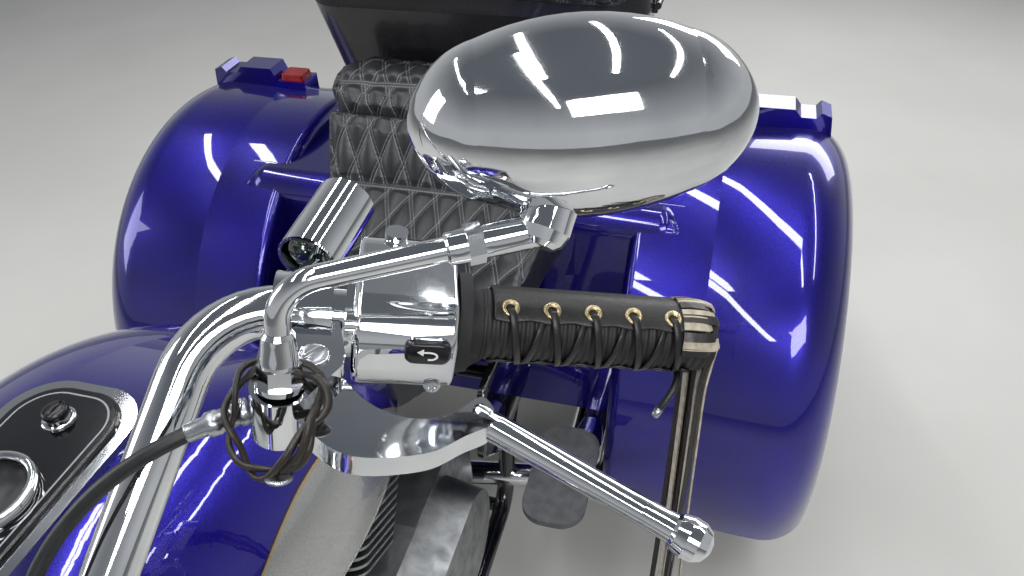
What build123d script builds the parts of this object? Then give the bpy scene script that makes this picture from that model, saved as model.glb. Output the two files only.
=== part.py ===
from build123d import *
import math
import os

# Touring cruiser turned into a three-wheeler, in millimetres.
# Origin on the floor under the middle of the machine, +Z up, front towards -Y, rider's left towards +X.

# Wheels and stance
wheelbase = 1720
front_axle_y = -930
rear_axle_y = front_axle_y + wheelbase
front_tyre_radius = 322
front_tyre_width = 130
front_rim_radius = 205
rear_tyre_radius = 320
rear_tyre_width = 196
rear_rim_radius = 196
rear_track = 1090
seat_gap = 0.3
running_gap = 0.4

# Steering
rake = 32
steer_ground_y = -1080
fork_offset = 43
fork_half_spacing = 112
fork_tube_radius = 24.5
slider_radius = 31
clamp_low = 930
clamp_high = 1120
clamp_thickness = 35
top_clamp_thickness = 22
fork_tube_top = 1150
stem_radius = 15
head_tube_radius = 34

# Handlebar
bar_radius = 12.7
grip_radius = 17
grip_length = 122
bar_clamp_height = 1170
bar_clamp_half_spacing = 50

# Frame and engine
frame_tube_radius = 16
backbone_radius = 25
cradle_half_width = 130
cradle_z = 195
rail_z = 400
case_half_width = 95
cylinder_lean = 26

# Tank, seat and bodywork
tank_front_y = -385
tank_rear_y = 100
seat_rear_y = 742
body_half_width = 395
body_front_y = 575
body_rear_y = 1240
body_top_z = 745
body_bottom_z = 290
body_floor_z = 450
body_wall = 8
fender_radius = 425
fender_side_x = 666
fender_wall = 6
fender_rise = 40
wheel_opening_radius = 345
trunk_front_y = 745
trunk_length = 440
trunk_bottom_z = 872
trunk_seam_z = 1000
trunk_top_z = 1118
trunk_wall = 5

sin_rake = math.sin(math.radians(rake))
cos_rake = math.cos(math.radians(rake))
steering = Plane(
    origin=(0, steer_ground_y, 0), x_dir=(1, 0, 0), z_dir=(0, sin_rake, cos_rake)
)
front_axle_along = (front_axle_y - steer_ground_y) * sin_rake + front_tyre_radius * cos_rake
rear_wheel_x = rear_track / 2

# The straight end of the handlebar: its own plane has x to the rear, y up and z out along the bar.
flange_point = Vector(330, -222, 1198)
bar_end_point = Vector(447, -178.5, 1173)
bar_direction = (bar_end_point - flange_point).normalized()
bar_end = Plane(
    origin=flange_point,
    x_dir=Vector(0, 0, 1).cross(bar_direction),
    z_dir=bar_direction,
)
bar_end_length = (bar_end_point - flange_point).length


def rod(start, end, radius, mode=Mode.ADD):
    """A round bar from one point to another."""
    span = Vector(end) - Vector(start)
    with BuildSketch(Plane(origin=start, z_dir=span)) as section:
        Circle(radius)
    extrude(section.sketch, amount=span.length, mode=mode)


def bent_rod(points, bends, radius, mode=Mode.ADD):
    """A round bar along straight runs joined by arcs."""
    with BuildLine():
        route = FilletPolyline(*points, radius=bends)
    with BuildSketch(Plane(origin=route @ 0, z_dir=route % 0)) as section:
        Circle(radius)
    sweep(section.sketch, path=route, mode=mode)


def lathe(start, towards, profile, mode=Mode.ADD):
    """A turned piece: (distance along, radius) pairs, turned about the line from one point to another."""
    axis = (Vector(towards) - Vector(start)).normalized()
    across = Plane(origin=start, z_dir=axis).x_dir
    with BuildSketch(Plane(origin=start, x_dir=axis, z_dir=axis.cross(across))) as half:
        with BuildLine():
            Polyline((profile[0][0], 0), *profile, (profile[-1][0], 0), close=True)
        make_face()
    revolve(half.sketch, axis=Axis(start, axis), mode=mode)


def hex_nut(start, towards, radius, height):
    """A hexagonal nut that begins at a point and grows towards another."""
    with BuildSketch(Plane(origin=start, z_dir=Vector(towards) - Vector(start))) as section:
        RegularPolygon(radius=radius, side_count=6)
    extrude(section.sketch, amount=height)


def box_between(low, high, mode=Mode.ADD):
    """A box from its lowest to its highest corner."""
    size = Vector(high) - Vector(low)
    middle = (Vector(high) + Vector(low)) / 2
    with Locations(middle):
        Box(size.X, size.Y, size.Z, mode=mode)


def save(part, name):
    part.label = name
    export_step(part, f"parts/{name}.step")


os.makedirs("parts", exist_ok=True)


def wheel_plane(x, y, z):
    """A plane square to a wheel's axle: its z points along +X."""
    return Plane(origin=(x, y, z), x_dir=(0, 1, 0), z_dir=(1, 0, 0))


def tyre(x, y, z, radius, width, rim_radius, rim_width):
    """A tyre: beads between the rim's lips, then side walls and a rounded crown."""
    half = width / 2
    bead = rim_width / 2 - lip_width - seat_gap
    seat = rim_radius + seat_gap
    lip_top = rim_radius + lip_height + 4
    shoulder = radius - 0.28 * (radius - rim_radius)
    middle = (radius + rim_radius) / 2
    with BuildSketch(Plane(origin=(x, y, z), x_dir=(1, 0, 0), z_dir=(0, -1, 0))) as section:
        with BuildLine():
            Polyline((-bead, lip_top), (-bead, seat), (bead, seat), (bead, lip_top))
            ThreePointArc((bead, lip_top), (half, middle), (half - 9, shoulder))
            ThreePointArc((half - 9, shoulder), (0, radius), (9 - half, shoulder))
            ThreePointArc((9 - half, shoulder), (-half, middle), (-bead, lip_top))
        make_face()
    revolve(section.sketch, axis=Axis((x, y, z), (1, 0, 0)))


def rim(x, y, z, radius, width, hub_radius, hub_width, spokes, bore):
    """A cast wheel: barrel with bead lips, hub and forked spokes, with a bore for the axle."""
    half = width / 2
    barrel = 9
    with BuildSketch(Plane(origin=(x, y, z), x_dir=(1, 0, 0), z_dir=(0, -1, 0))) as section:
        with BuildLine():
            Polyline(
                (-half, radius - barrel),
                (-half, radius + lip_height),
                (4 - half, radius + lip_height),
                (lip_width - half, radius),
                (half - lip_width, radius),
                (half - 4, radius + lip_height),
                (half, radius + lip_height),
                (half, radius - barrel),
                close=True,
            )
        make_face()
    revolve(section.sketch, axis=Axis((x, y, z), (1, 0, 0)))
    with BuildSketch(wheel_plane(x - hub_width / 2, y, z)) as hub:
        Circle(hub_radius)
    extrude(hub.sketch, amount=hub_width)
    with BuildSketch(wheel_plane(x - 14, y, z)) as arms:
        with PolarLocations(0, spokes):
            Polygon(
                (hub_radius - 8, -16),
                (radius - barrel + 3, -34),
                (radius - barrel + 3, -20),
                (hub_radius + 40, 0),
                (radius - barrel + 3, 20),
                (radius - barrel + 3, 34),
                (hub_radius - 8, 16),
                align=None,
            )
    extrude(arms.sketch, amount=28)
    with BuildSketch(wheel_plane(x - hub_width / 2, y, z)) as hole:
        Circle(bore)
    extrude(hole.sketch, amount=hub_width, mode=Mode.SUBTRACT)


front_centre = (0, front_axle_y, front_tyre_radius)
axle_radius = 12
hub_width = 110
front_rim_width = 96
rear_rim_width = 160
lip_width = 10
lip_height = 10

with BuildPart() as front_tyre:
    tyre(*front_centre, front_tyre_radius, front_tyre_width, front_rim_radius, front_rim_width)
save(front_tyre.part, "front_tyre")

disc_radius = 148
disc_x = 71
disc_thickness = 5
with BuildPart() as front_rim:
    rim(*front_centre, front_rim_radius, front_rim_width, 38, hub_width, 5, axle_radius + running_gap)
    for side in (-1, 1):
        start = side * disc_x - disc_thickness / 2
        with BuildSketch(wheel_plane(start, front_axle_y, front_tyre_radius)) as disc:
            Circle(disc_radius)
            Circle(72, mode=Mode.SUBTRACT)
            with PolarLocations(0, 5):
                with Locations((50, 0)):
                    Rectangle(52, 18)
            Circle(34)
            Circle(axle_radius + running_gap, mode=Mode.SUBTRACT)
            with PolarLocations(110, 12):
                Circle(7, mode=Mode.SUBTRACT)
        extrude(disc.sketch, amount=disc_thickness)
        spacer = wheel_plane(side * hub_width / 2, front_axle_y, front_tyre_radius)
        with BuildSketch(spacer) as boss:
            Circle(34)
            Circle(axle_radius + running_gap, mode=Mode.SUBTRACT)
        extrude(boss.sketch, amount=side * (disc_x - hub_width / 2))
save(front_rim.part, "front_rim")

rear_bore = 24
rear_hub_width = 120
for side, word in ((1, "left"), (-1, "right")):
    centre = (side * rear_wheel_x, rear_axle_y, rear_tyre_radius)
    with BuildPart() as rear_tyre:
        tyre(*centre, rear_tyre_radius, rear_tyre_width, rear_rim_radius, rear_rim_width)
    save(rear_tyre.part, f"rear_tyre_{word}")
    with BuildPart() as rear_rim:
        rim(*centre, rear_rim_radius, rear_rim_width, 62, rear_hub_width, 5, rear_bore + running_gap)
    save(rear_rim.part, f"rear_rim_{word}")


def steer_point(x, back, along):
    """A point in the steering's own frame: across, behind the axis and up along it."""
    return steering.from_local_coords(Vector(x, back, along))


def bar_point(back, up, out):
    """A point in the frame of the handlebar's straight end."""
    return bar_end.from_local_coords(Vector(back, up, out))


# Frame: head tube, backbone, cradle, rails under the seat and under the rear body
head_low = clamp_low + clamp_thickness + 4
head_high = clamp_high - 4
neck_mid = steer_point(0, 0, (head_low + head_high) / 2)
neck_low = steer_point(0, 0, head_low + 30)
seat_rail_half = 105
seat_rail_z = 655
backbone_end_z = 690
cradle_rear_y = 400
rail_end_y = 1140

with BuildPart() as frame:
    backbone = [neck_mid, (0, -230, neck_mid.Z - 24), (0, 300, backbone_end_z)]
    bent_rod(backbone, [180], backbone_radius)
    with BuildSketch(steering.offset(head_low)) as head:
        Circle(head_tube_radius)
    extrude(head.sketch, amount=head_high - head_low)
    for side in (-1, 1):
        half = side * cradle_half_width
        bent_rod(
            [
                neck_low,
                (side * 40, -470, neck_low.Z - 60),
                (half, -330, 330),
                (half, -285, cradle_z),
                (half, cradle_rear_y, cradle_z),
                (half, 450, rail_z),
                (half, rail_end_y, rail_z),
            ],
            [25, 90, 60, 60, 60],
            frame_tube_radius,
        )
        bent_rod(
            [
                (side * 10, 200, 712),
                (side * seat_rail_half, 250, seat_rail_z),
                (side * seat_rail_half, 560, seat_rail_z),
            ],
            [40],
            frame_tube_radius - 3,
        )
        rod((half, 470, rail_z), (side * seat_rail_half, 470, seat_rail_z), frame_tube_radius - 3)
    for y, z in ((cradle_rear_y - 20, cradle_z), (520, rail_z), (rail_end_y - 10, rail_z)):
        rod((-cradle_half_width, y, z), (cradle_half_width, y, z), frame_tube_radius - 3)
    rod((-seat_rail_half, 540, seat_rail_z), (seat_rail_half, 540, seat_rail_z), frame_tube_radius - 3)
    with BuildSketch(steering.offset(head_low)) as head_bore:
        Circle(stem_radius + running_gap)
    extrude(head_bore.sketch, amount=head_high - head_low, mode=Mode.SUBTRACT)
save(frame.part, "frame")

# Rear axle: a differential housing, axle tubes, end flanges and the spindles that carry the wheels
axle_tube_radius = 38
axle_flange_x = rear_wheel_x - rear_hub_width / 2 - 6
axle_bracket_half = 14
rear_centre = (0, rear_axle_y, rear_tyre_radius)
with BuildPart() as rear_axle:
    with BuildSketch(Plane(origin=rear_centre, x_dir=(1, 0, 0), z_dir=(0, -1, 0))) as casing:
        with BuildLine():
            Polyline((-115, 0), (-115, axle_tube_radius), (-70, 74))
            ThreePointArc((-70, 74), (0, 98), (70, 74))
            Polyline((70, 74), (115, axle_tube_radius), (115, 0), (-115, 0))
        make_face()
    revolve(casing.sketch, axis=Axis(rear_centre, (1, 0, 0)))
    for side in (-1, 1):
        for reach, radius in ((axle_flange_x, axle_tube_radius), (rear_wheel_x + 70, rear_bore)):
            rod(rear_centre, (side * reach, rear_axle_y, rear_tyre_radius), radius)
        rod(
            (side * (axle_flange_x - 12), rear_axle_y, rear_tyre_radius),
            (side * axle_flange_x, rear_axle_y, rear_tyre_radius),
            58,
        )
        rod(
            (side * (rear_wheel_x + rear_hub_width / 2 + 3), rear_axle_y, rear_tyre_radius),
            (side * (rear_wheel_x + 76), rear_axle_y, rear_tyre_radius),
            34,
        )
        low = (side * cradle_half_width - axle_bracket_half, rear_axle_y - 34, rear_tyre_radius)
        high = (side * cradle_half_width + axle_bracket_half, rear_axle_y + 34, rail_z)
        box_between(low, high)
        rod(
            (side * cradle_half_width, rear_axle_y - 60, rail_z),
            (side * cradle_half_width, rear_axle_y + 60, rail_z),
            frame_tube_radius + seat_gap,
            mode=Mode.SUBTRACT,
        )
save(rear_axle.part, "rear_axle")

# Engine: crankcase with its side covers, two finned cylinders in a V with rocker covers, air cleaner
crank_y = -40
crank_z = 430
case_bottom_z = cradle_z + frame_tube_radius + 6
case_deck_z = 500
primary_length = 400
primary_height = 190
primary_depth = 62
case_outline = (
    # y, z: under the case from front to rear, up its rear and along the deck under the cylinders
    (-225, case_bottom_z + 40),
    (-180, case_bottom_z),
    (300, case_bottom_z),
    (330, case_bottom_z + 43),
    (330, case_deck_z - 70),
    (250, case_deck_z),
    (crank_y + 140, case_deck_z),
    (crank_y + 60, case_deck_z - 22),
    (crank_y, case_deck_z),
    (crank_y - 60, case_deck_z - 22),
    (crank_y - 150, case_deck_z - 60),
    (-225, 330),
)
case_left = Plane(origin=(case_half_width, 0, 0), x_dir=(0, 1, 0), z_dir=(1, 0, 0))
case_right = Plane(origin=(-case_half_width, 0, 0), x_dir=(0, -1, 0), z_dir=(-1, 0, 0))
with BuildPart() as crankcase:
    with BuildSketch(Plane.YZ) as case:
        with BuildLine():
            Polyline(*case_outline, close=True)
        make_face()
    extrude(case.sketch, amount=case_half_width, both=True)
    with BuildSketch(case_left) as primary:
        with Locations((crank_y + 90, crank_z - 30)):
            SlotOverall(primary_length, primary_height)
    extrude(primary.sketch, amount=primary_depth, taper=9)
    with BuildSketch(case_right) as timing:
        with Locations((-crank_y, crank_z - 10)):
            Circle(92)
        with Locations((-crank_y - 170, crank_z - 20)):
            Circle(74)
    extrude(timing.sketch, amount=34, taper=12)
save(crankcase.part, "crankcase")

cylinder_base = 112
fin_count = 9
fin_pitch = 13
fin_thickness = 4
with BuildPart() as cylinders:
    for lean in (-cylinder_lean, cylinder_lean):
        up = Vector(0, math.sin(math.radians(lean)), math.cos(math.radians(lean)))
        bank = Plane(origin=(0, crank_y, crank_z), x_dir=(1, 0, 0), z_dir=up)
        with BuildSketch(bank.offset(cylinder_base)) as barrel:
            Circle(52)
        extrude(barrel.sketch, amount=fin_count * fin_pitch + 20)
        for number in range(fin_count):
            with BuildSketch(bank.offset(cylinder_base + 18 + number * fin_pitch)) as fin:
                RectangleRounded(168, 128 + 3 * number, 30)
            extrude(fin.sketch, amount=fin_thickness)
        with BuildSketch(bank.offset(cylinder_base + 18 + fin_count * fin_pitch)) as head_block:
            RectangleRounded(150, 142, 34)
        extrude(head_block.sketch, amount=34)
        with BuildSketch(bank.offset(cylinder_base + 52 + fin_count * fin_pitch)) as rocker:
            RectangleRounded(138, 120, 30)
        extrude(rocker.sketch, amount=30, taper=14)
    add(crankcase.part, mode=Mode.SUBTRACT)
save(cylinders.part, "cylinders")

# Air cleaner on the right: a round cover on a throttle body between the cylinders
cleaner_radius = 88
cleaner_y = crank_y
cleaner_z = crank_z + 215
with BuildPart() as air_cleaner:
    rod((-108, cleaner_y, cleaner_z), (-154, cleaner_y, cleaner_z), cleaner_radius)
    fillet(air_cleaner.edges().group_by(Axis.X)[0], radius=18)
    rod((-110, cleaner_y, cleaner_z), (-20, cleaner_y, cleaner_z), 27)
    add(cylinders.part, mode=Mode.SUBTRACT)
save(air_cleaner.part, "air_cleaner")

# Exhaust: a pipe from each head down the right side, joined under the case, and a silencer each side
pipe_radius = 22
silencer_radius = 44
silencer_x = 265
silencer_z = rear_tyre_radius - 85
silencer_front_y = 430
silencer_rear_y = 1216
outlet_rear_y = silencer_rear_y + 18
front_pipe = [
    (-100, -190, 600),
    (-172, -214, 560),
    (-180, -190, 250),
    (-190, 60, 232),
    (-silencer_x, 330, silencer_z),
    (-silencer_x, 470, silencer_z),
]
rear_pipe = [(-100, 116, 588), (-168, 122, 540), (-190, 60, 236)]
crossover_pipe = [
    (-230, 230, silencer_z),
    (-150, 370, silencer_z + 10),
    (150, 420, silencer_z + 10),
    (silencer_x, 450, silencer_z),
    (silencer_x, 520, silencer_z),
]
with BuildPart() as exhaust:
    bent_rod(front_pipe, [40, 60, 50, 90], pipe_radius)
    bent_rod(rear_pipe, [40], pipe_radius)
    bent_rod(crossover_pipe, [60, 90, 45], pipe_radius)
    for side in (-1, 1):
        x = side * silencer_x
        rod((x, silencer_front_y, silencer_z), (x, silencer_rear_y, silencer_z), silencer_radius)
        rod((x, silencer_rear_y, silencer_z), (x, outlet_rear_y, silencer_z), 32)
        rod(
            (x, silencer_rear_y - 50, silencer_z),
            (x, outlet_rear_y, silencer_z),
            24,
            mode=Mode.SUBTRACT,
        )
        rod((side * cradle_half_width, 700, rail_z - 40), (x, 700, silencer_z), 8)
    add(frame.part, mode=Mode.SUBTRACT)
    add(cylinders.part, mode=Mode.SUBTRACT)
    add(crankcase.part, mode=Mode.SUBTRACT)
save(exhaust.part, "exhaust")

# Side covers under the rider's seat
cover_x = 150
with BuildPart() as side_covers:
    for side in (-1, 1):
        with BuildSketch(Plane(origin=(side * cover_x, 0, 0), x_dir=(0, 1, 0), z_dir=(1, 0, 0))) as panel:
            with BuildLine():
                Polyline((245, 640), (225, 520), (300, 450), (470, 450), (545, 520), (545, 640), close=True)
            make_face()
            fillet(panel.vertices(), radius=26)
        extrude(panel.sketch, amount=side * 14)
    fillet(side_covers.edges().filter_by(Plane.YZ).group_by(Axis.X)[0], radius=7)
    fillet(side_covers.edges().filter_by(Plane.YZ).group_by(Axis.X)[-1], radius=7)
    for side in (-1, 1):
        rod((side * seat_rail_half, 470, 630), (side * cover_x, 470, 630), 7)
    add(frame.part, mode=Mode.SUBTRACT)
save(side_covers.part, "side_covers")

# Fuel tank: sections from front to rear, each a flat top and bottom joined by rounded sides
tank_sections = (
    # y, bottom z, top z, widest z, half width, half top, half bottom
    (tank_front_y, 800, 985, 890, 112, 30, 60),
    (-190, 790, 1022, 872, 182, 52, 96),
    (-40, 772, 958, 850, 170, 44, 90),
    (tank_rear_y, 730, 806, 765, 92, 26, 52),
)
tunnel_half_width = backbone_radius + 8
tunnel_outline = (
    (tank_front_y - 10, 600),
    (tank_front_y - 10, 915),
    (-235, 900),
    (tank_rear_y + 10, 790),
    (tank_rear_y + 10, 600),
)
with BuildPart() as fuel_tank:
    for y, bottom, top, middle, half, half_top, half_bottom in tank_sections:
        upper = (half * 0.86, (top + middle) / 2 + 22)
        lower = (half * 0.9, (bottom + middle) / 2 - 8)
        with BuildSketch(Plane(origin=(0, y, 0), x_dir=(1, 0, 0), z_dir=(0, -1, 0))):
            with BuildLine():
                Line((-half_top, top), (half_top, top))
                ThreePointArc((half_top, top), upper, (half, middle))
                ThreePointArc((half, middle), lower, (half_bottom, bottom))
                Line((half_bottom, bottom), (-half_bottom, bottom))
                ThreePointArc((-half_bottom, bottom), (-lower[0], lower[1]), (-half, middle))
                ThreePointArc((-half, middle), (-upper[0], upper[1]), (-half_top, top))
            make_face()
    loft(ruled=False)
    with BuildSketch(Plane.YZ) as tunnel:
        with BuildLine():
            Polyline(*tunnel_outline, close=True)
        make_face()
    extrude(tunnel.sketch, amount=tunnel_half_width, both=True, mode=Mode.SUBTRACT)
save(fuel_tank.part, "fuel_tank")

# Console on the tank: a black panel in a chrome surround, with a fuel gauge, a cap and a small knob
console_half = 46
console_front_y = tank_front_y + 15
console_rear_y = -182
console_top_z = 1036
console_base_z = 975
console_length = console_rear_y - console_front_y
trim_margin = 10
gauge_y = -287
gauge_radius = 35
knob_y = -214
with BuildPart() as console_trim:
    with BuildSketch(Plane.XY.offset(console_base_z)) as surround:
        with Locations((0, (console_front_y + console_rear_y) / 2)):
            RectangleRounded(
                2 * (console_half + trim_margin), console_length + 2 * trim_margin - 4, 40
            )
            RectangleRounded(2 * console_half, console_length, 36, mode=Mode.SUBTRACT)
    extrude(surround.sketch, amount=console_top_z - 4 - console_base_z)
    add(fuel_tank.part, mode=Mode.SUBTRACT)
save(console_trim.part, "console_trim")

with BuildPart() as tank_console:
    with BuildSketch(Plane.XY.offset(console_base_z)) as panel:
        with Locations((0, (console_front_y + console_rear_y) / 2)):
            RectangleRounded(2 * console_half, console_length, 36)
    extrude(panel.sketch, amount=console_top_z - console_base_z)
    fillet(tank_console.edges().group_by(Axis.Z)[-1], radius=3)
    add(fuel_tank.part, mode=Mode.SUBTRACT)
    for y, radius, height in ((gauge_y, gauge_radius, 7), (knob_y, 9, 10)):
        with BuildSketch(Plane.XY.offset(console_top_z)) as dial:
            with Locations((0, y)):
                Circle(radius)
        extrude(dial.sketch, amount=height)
    with BuildSketch(Plane.XY.offset(console_top_z + 4)) as face:
        with Locations((0, gauge_y)):
            Circle(gauge_radius - 6)
    extrude(face.sketch, amount=3, mode=Mode.SUBTRACT)
save(tank_console.part, "tank_console")


def seat_block(side_outline, half_widths, rounding):
    """A cushion where a side outline and a plan outline of (y, half width) both hold."""
    with BuildSketch(Plane.YZ) as side:
        with BuildLine():
            Polyline(*side_outline, close=True)
        make_face()
        fillet(side.vertices(), radius=rounding)
    extrude(side.sketch, amount=400, both=True)
    with BuildSketch(Plane.XY) as plan:
        with BuildLine():
            Polyline(
                *[(half, y) for y, half in half_widths],
                *[(-half, y) for y, half in reversed(half_widths)],
                close=True,
            )
        make_face()
        fillet(plan.vertices(), radius=rounding * 1.6)
    extrude(plan.sketch, amount=1500, mode=Mode.INTERSECT)


seat_front_y = tank_rear_y + 1
seat_base_z = seat_rail_z + frame_tube_radius - 3 + seat_gap
pillion_base_z = body_top_z + seat_gap
rider_outline = (
    # y, z: along the top from the tank to the step, then back under the seat
    (seat_front_y, 724),
    (seat_front_y, 792),
    (230, 752),
    (420, 742),
    (548, 778),
    (600, 880),
    (622, 880),
    (622, pillion_base_z),
    (body_front_y - 1, pillion_base_z),
    (body_front_y - 1, seat_base_z),
    (270, seat_base_z),
)
rider_half_widths = ((seat_front_y, 88), (230, 140), (354, 192), (525, 207), (622, 214))
with BuildPart() as rider_seat:
    seat_block(rider_outline, rider_half_widths, 9)
    add(frame.part, mode=Mode.SUBTRACT)
save(rider_seat.part, "rider_seat")

pillion_outline = (
    (623, pillion_base_z),
    (623, 905),
    (660, 922),
    (seat_rear_y - 2, 930),
    (seat_rear_y - 2, pillion_base_z),
)
with BuildPart() as pillion_seat:
    seat_block(pillion_outline, ((623, 214), (683, 214), (seat_rear_y - 2, 172)), 9)
save(pillion_seat.part, "pillion_seat")


# Rear body: a hollow tub between the fenders, with a load space above the axle and a hatch behind
def body_side(inset, low, high):
    """The tub's side outline, moved in by a wall and cut off below and above."""
    with BuildSketch(Plane.YZ) as outline:
        with BuildLine():
            Polyline(
                (body_front_y, body_bottom_z),
                (body_front_y, body_top_z),
                (body_rear_y, body_top_z),
                (body_rear_y, body_bottom_z),
                close=True,
            )
        make_face()
        fillet(outline.vertices().group_by(Axis.X)[-1].sort_by(Axis.Y)[-1], radius=70)
        fillet(outline.vertices().group_by(Axis.X)[0].sort_by(Axis.Y)[-1], radius=40)
        if inset:
            offset(amount=-inset, mode=Mode.REPLACE)
        with Locations(((body_front_y + body_rear_y) / 2, (low + high) / 2)):
            Rectangle(body_rear_y, high - low, mode=Mode.INTERSECT)
    return outline.sketch


hatch_half = 300
hatch_low_z = 478
hatch_high_z = 668
hatch_gap = 5
hatch_hinge_z = hatch_high_z - hatch_gap + 1
hatch_hinge_y = body_rear_y + 6
hatch_hinge_radius = 6
hatch_hinges = (-190, 190)
hatch_pin_radius = 2.5
with BuildPart() as rear_body:
    extrude(body_side(0, body_bottom_z, body_top_z), amount=body_half_width, both=True)
    fillet(rear_body.edges().filter_by(Axis.Y).group_by(Axis.Z)[-1], radius=34)
    extrude(
        body_side(body_wall, body_floor_z + body_wall, body_top_z),
        amount=body_half_width - body_wall,
        both=True,
        mode=Mode.SUBTRACT,
    )
    box_between(
        (body_wall - body_half_width, body_front_y + body_wall, body_bottom_z - 10),
        (body_half_width - body_wall, body_rear_y - body_wall, body_floor_z),
        mode=Mode.SUBTRACT,
    )
    box_between(
        (-hatch_half, body_rear_y - 60, hatch_low_z),
        (hatch_half, body_rear_y + 60, hatch_high_z),
        mode=Mode.SUBTRACT,
    )
    rod(
        (-body_half_width - 10, rear_axle_y, rear_tyre_radius),
        (body_half_width + 10, rear_axle_y, rear_tyre_radius),
        axle_tube_radius + 8,
        mode=Mode.SUBTRACT,
    )
    for side in (-1, 1):
        rod(
            (side * cradle_half_width, body_front_y - 20, rail_z),
            (side * cradle_half_width, body_front_y + 20, rail_z),
            frame_tube_radius + seat_gap,
            mode=Mode.SUBTRACT,
        )
        for y in (body_front_y + 60, rail_end_y - 60):
            rod(
                (side * cradle_half_width, y, rail_z + frame_tube_radius - 4),
                (side * cradle_half_width, y, body_floor_z),
                9,
            )
    add(frame.part, mode=Mode.SUBTRACT)
    for x in hatch_hinges:
        near = (x - 30, hatch_hinge_y, hatch_hinge_z)
        rod(near, (x - 2, hatch_hinge_y, hatch_hinge_z), hatch_hinge_radius)
        rod(near, (x + 30, hatch_hinge_y, hatch_hinge_z), hatch_pin_radius)
        box_between(
            (x - 30, body_rear_y, hatch_hinge_z), (x - 2, hatch_hinge_y, hatch_hinge_z + 26)
        )
save(rear_body.part, "rear_body")

with BuildPart() as rear_hatch:
    box_between(
        (hatch_gap - hatch_half, body_rear_y - body_wall, hatch_low_z + hatch_gap),
        (hatch_half - hatch_gap, body_rear_y, hatch_high_z - hatch_gap),
    )
    fillet(rear_hatch.edges().filter_by(Axis.Y), radius=14)
    box_between((-45, body_rear_y, 505), (45, body_rear_y + 6, 525))
    for x in hatch_hinges:
        far = (x + 30, hatch_hinge_y, hatch_hinge_z)
        rod((x + 2, hatch_hinge_y, hatch_hinge_z), far, hatch_hinge_radius)
        box_between(
            (x + 2, body_rear_y - 2, hatch_hinge_z - 26),
            (x + 30, hatch_hinge_y, hatch_hinge_z - 2),
        )
        rod(
            (x - 30, hatch_hinge_y, hatch_hinge_z),
            (x + 31, hatch_hinge_y, hatch_hinge_z),
            hatch_pin_radius + running_gap,
            mode=Mode.SUBTRACT,
        )
save(rear_hatch.part, "rear_hatch")

# Fenders: a crowned shell turned about a line above the axle, with an outer skirt, an inner wall
# and a stepped crest that stands on its top and carries a lamp
fender_inner_x = 316
fender_inner_radius = fender_radius - 7
fender_shoulder = 18
fender_start = 16
fender_end = 12
fender_centre = Vector(0, rear_axle_y, rear_tyre_radius + fender_rise)
crest_front_y = rear_axle_y + 100
crest_length = 56
crest_base_z = 720
crest_step_z = 782
crest_top_z = 808


def fender_section(side, inset):
    """The fender's closed section at its front end, moved in by a wall."""
    low = math.radians(fender_start)
    plane = Plane(
        origin=fender_centre, x_dir=(1, 0, 0), z_dir=(0, math.sin(low), -math.cos(low))
    )
    crown = (side * (fender_side_x - 84), fender_radius)
    edge = (side * fender_side_x, wheel_opening_radius + 20)
    brow = (side * (fender_inner_x + 134), fender_inner_radius)
    shoulder = (side * (fender_inner_x + fender_shoulder), fender_inner_radius)
    wall_top = (side * fender_inner_x, fender_inner_radius - fender_shoulder)
    bend = fender_shoulder * (1 - math.cos(math.pi / 4))
    with BuildSketch(plane) as section:
        with BuildLine():
            Polyline(
                wall_top,
                (side * fender_inner_x, wheel_opening_radius - 30),
                (side * (fender_side_x - 4), wheel_opening_radius - 30),
                edge,
            )
            ThreePointArc(edge, (side * (fender_side_x - 24), fender_radius - 22), crown)
            ThreePointArc(crown, (side * (fender_inner_x + 204), fender_radius - 1.6), brow)
            Line(brow, shoulder)
            ThreePointArc(
                shoulder,
                (side * (fender_inner_x + bend), fender_inner_radius - bend),
                wall_top,
            )
        make_face()
        if inset:
            offset(amount=-inset, mode=Mode.REPLACE)
    return section.sketch


def turn_fender(section, mode=Mode.ADD):
    """Turns a fender's section over the wheel."""
    revolve(
        section,
        axis=Axis(fender_centre, (-1, 0, 0)),
        revolution_arc=180 + fender_start + fender_end,
        mode=mode,
    )


with BuildPart() as rear_fenders:
    for side in (-1, 1):
        with BuildSketch(Plane(origin=(0, crest_front_y, 0), x_dir=(1, 0, 0), z_dir=(0, -1, 0))) as crest:
            Polygon(
                (side * (fender_side_x - 250), crest_base_z),
                (side * (fender_side_x - 250), crest_step_z),
                (side * (fender_side_x - 186), crest_step_z),
                (side * (fender_side_x - 176), crest_top_z),
                (side * (fender_side_x - 106), crest_top_z),
                (side * (fender_side_x - 94), crest_top_z - 14),
                (side * (fender_side_x - 68), crest_top_z - 14),
                (side * (fender_side_x - 60), crest_top_z - 3),
                (side * (fender_side_x - 42), crest_top_z - 10),
                (side * (fender_side_x - 32), crest_base_z),
                align=None,
            )
        extrude(crest.sketch, amount=-crest_length)
        turn_fender(fender_section(side, fender_wall), mode=Mode.SUBTRACT)
        turn_fender(fender_section(side, 0) - fender_section(side, fender_wall))
        rod(
            (side * (fender_inner_x - 1), fender_centre.Y, fender_centre.Z),
            (side * (fender_side_x + 1), fender_centre.Y, fender_centre.Z),
            wheel_opening_radius,
            mode=Mode.SUBTRACT,
        )
    extrude(
        body_side(-seat_gap, body_bottom_z - 60, body_top_z + 1),
        amount=body_half_width + seat_gap,
        both=True,
        mode=Mode.SUBTRACT,
    )
save(rear_fenders.part, "rear_fenders")

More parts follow.
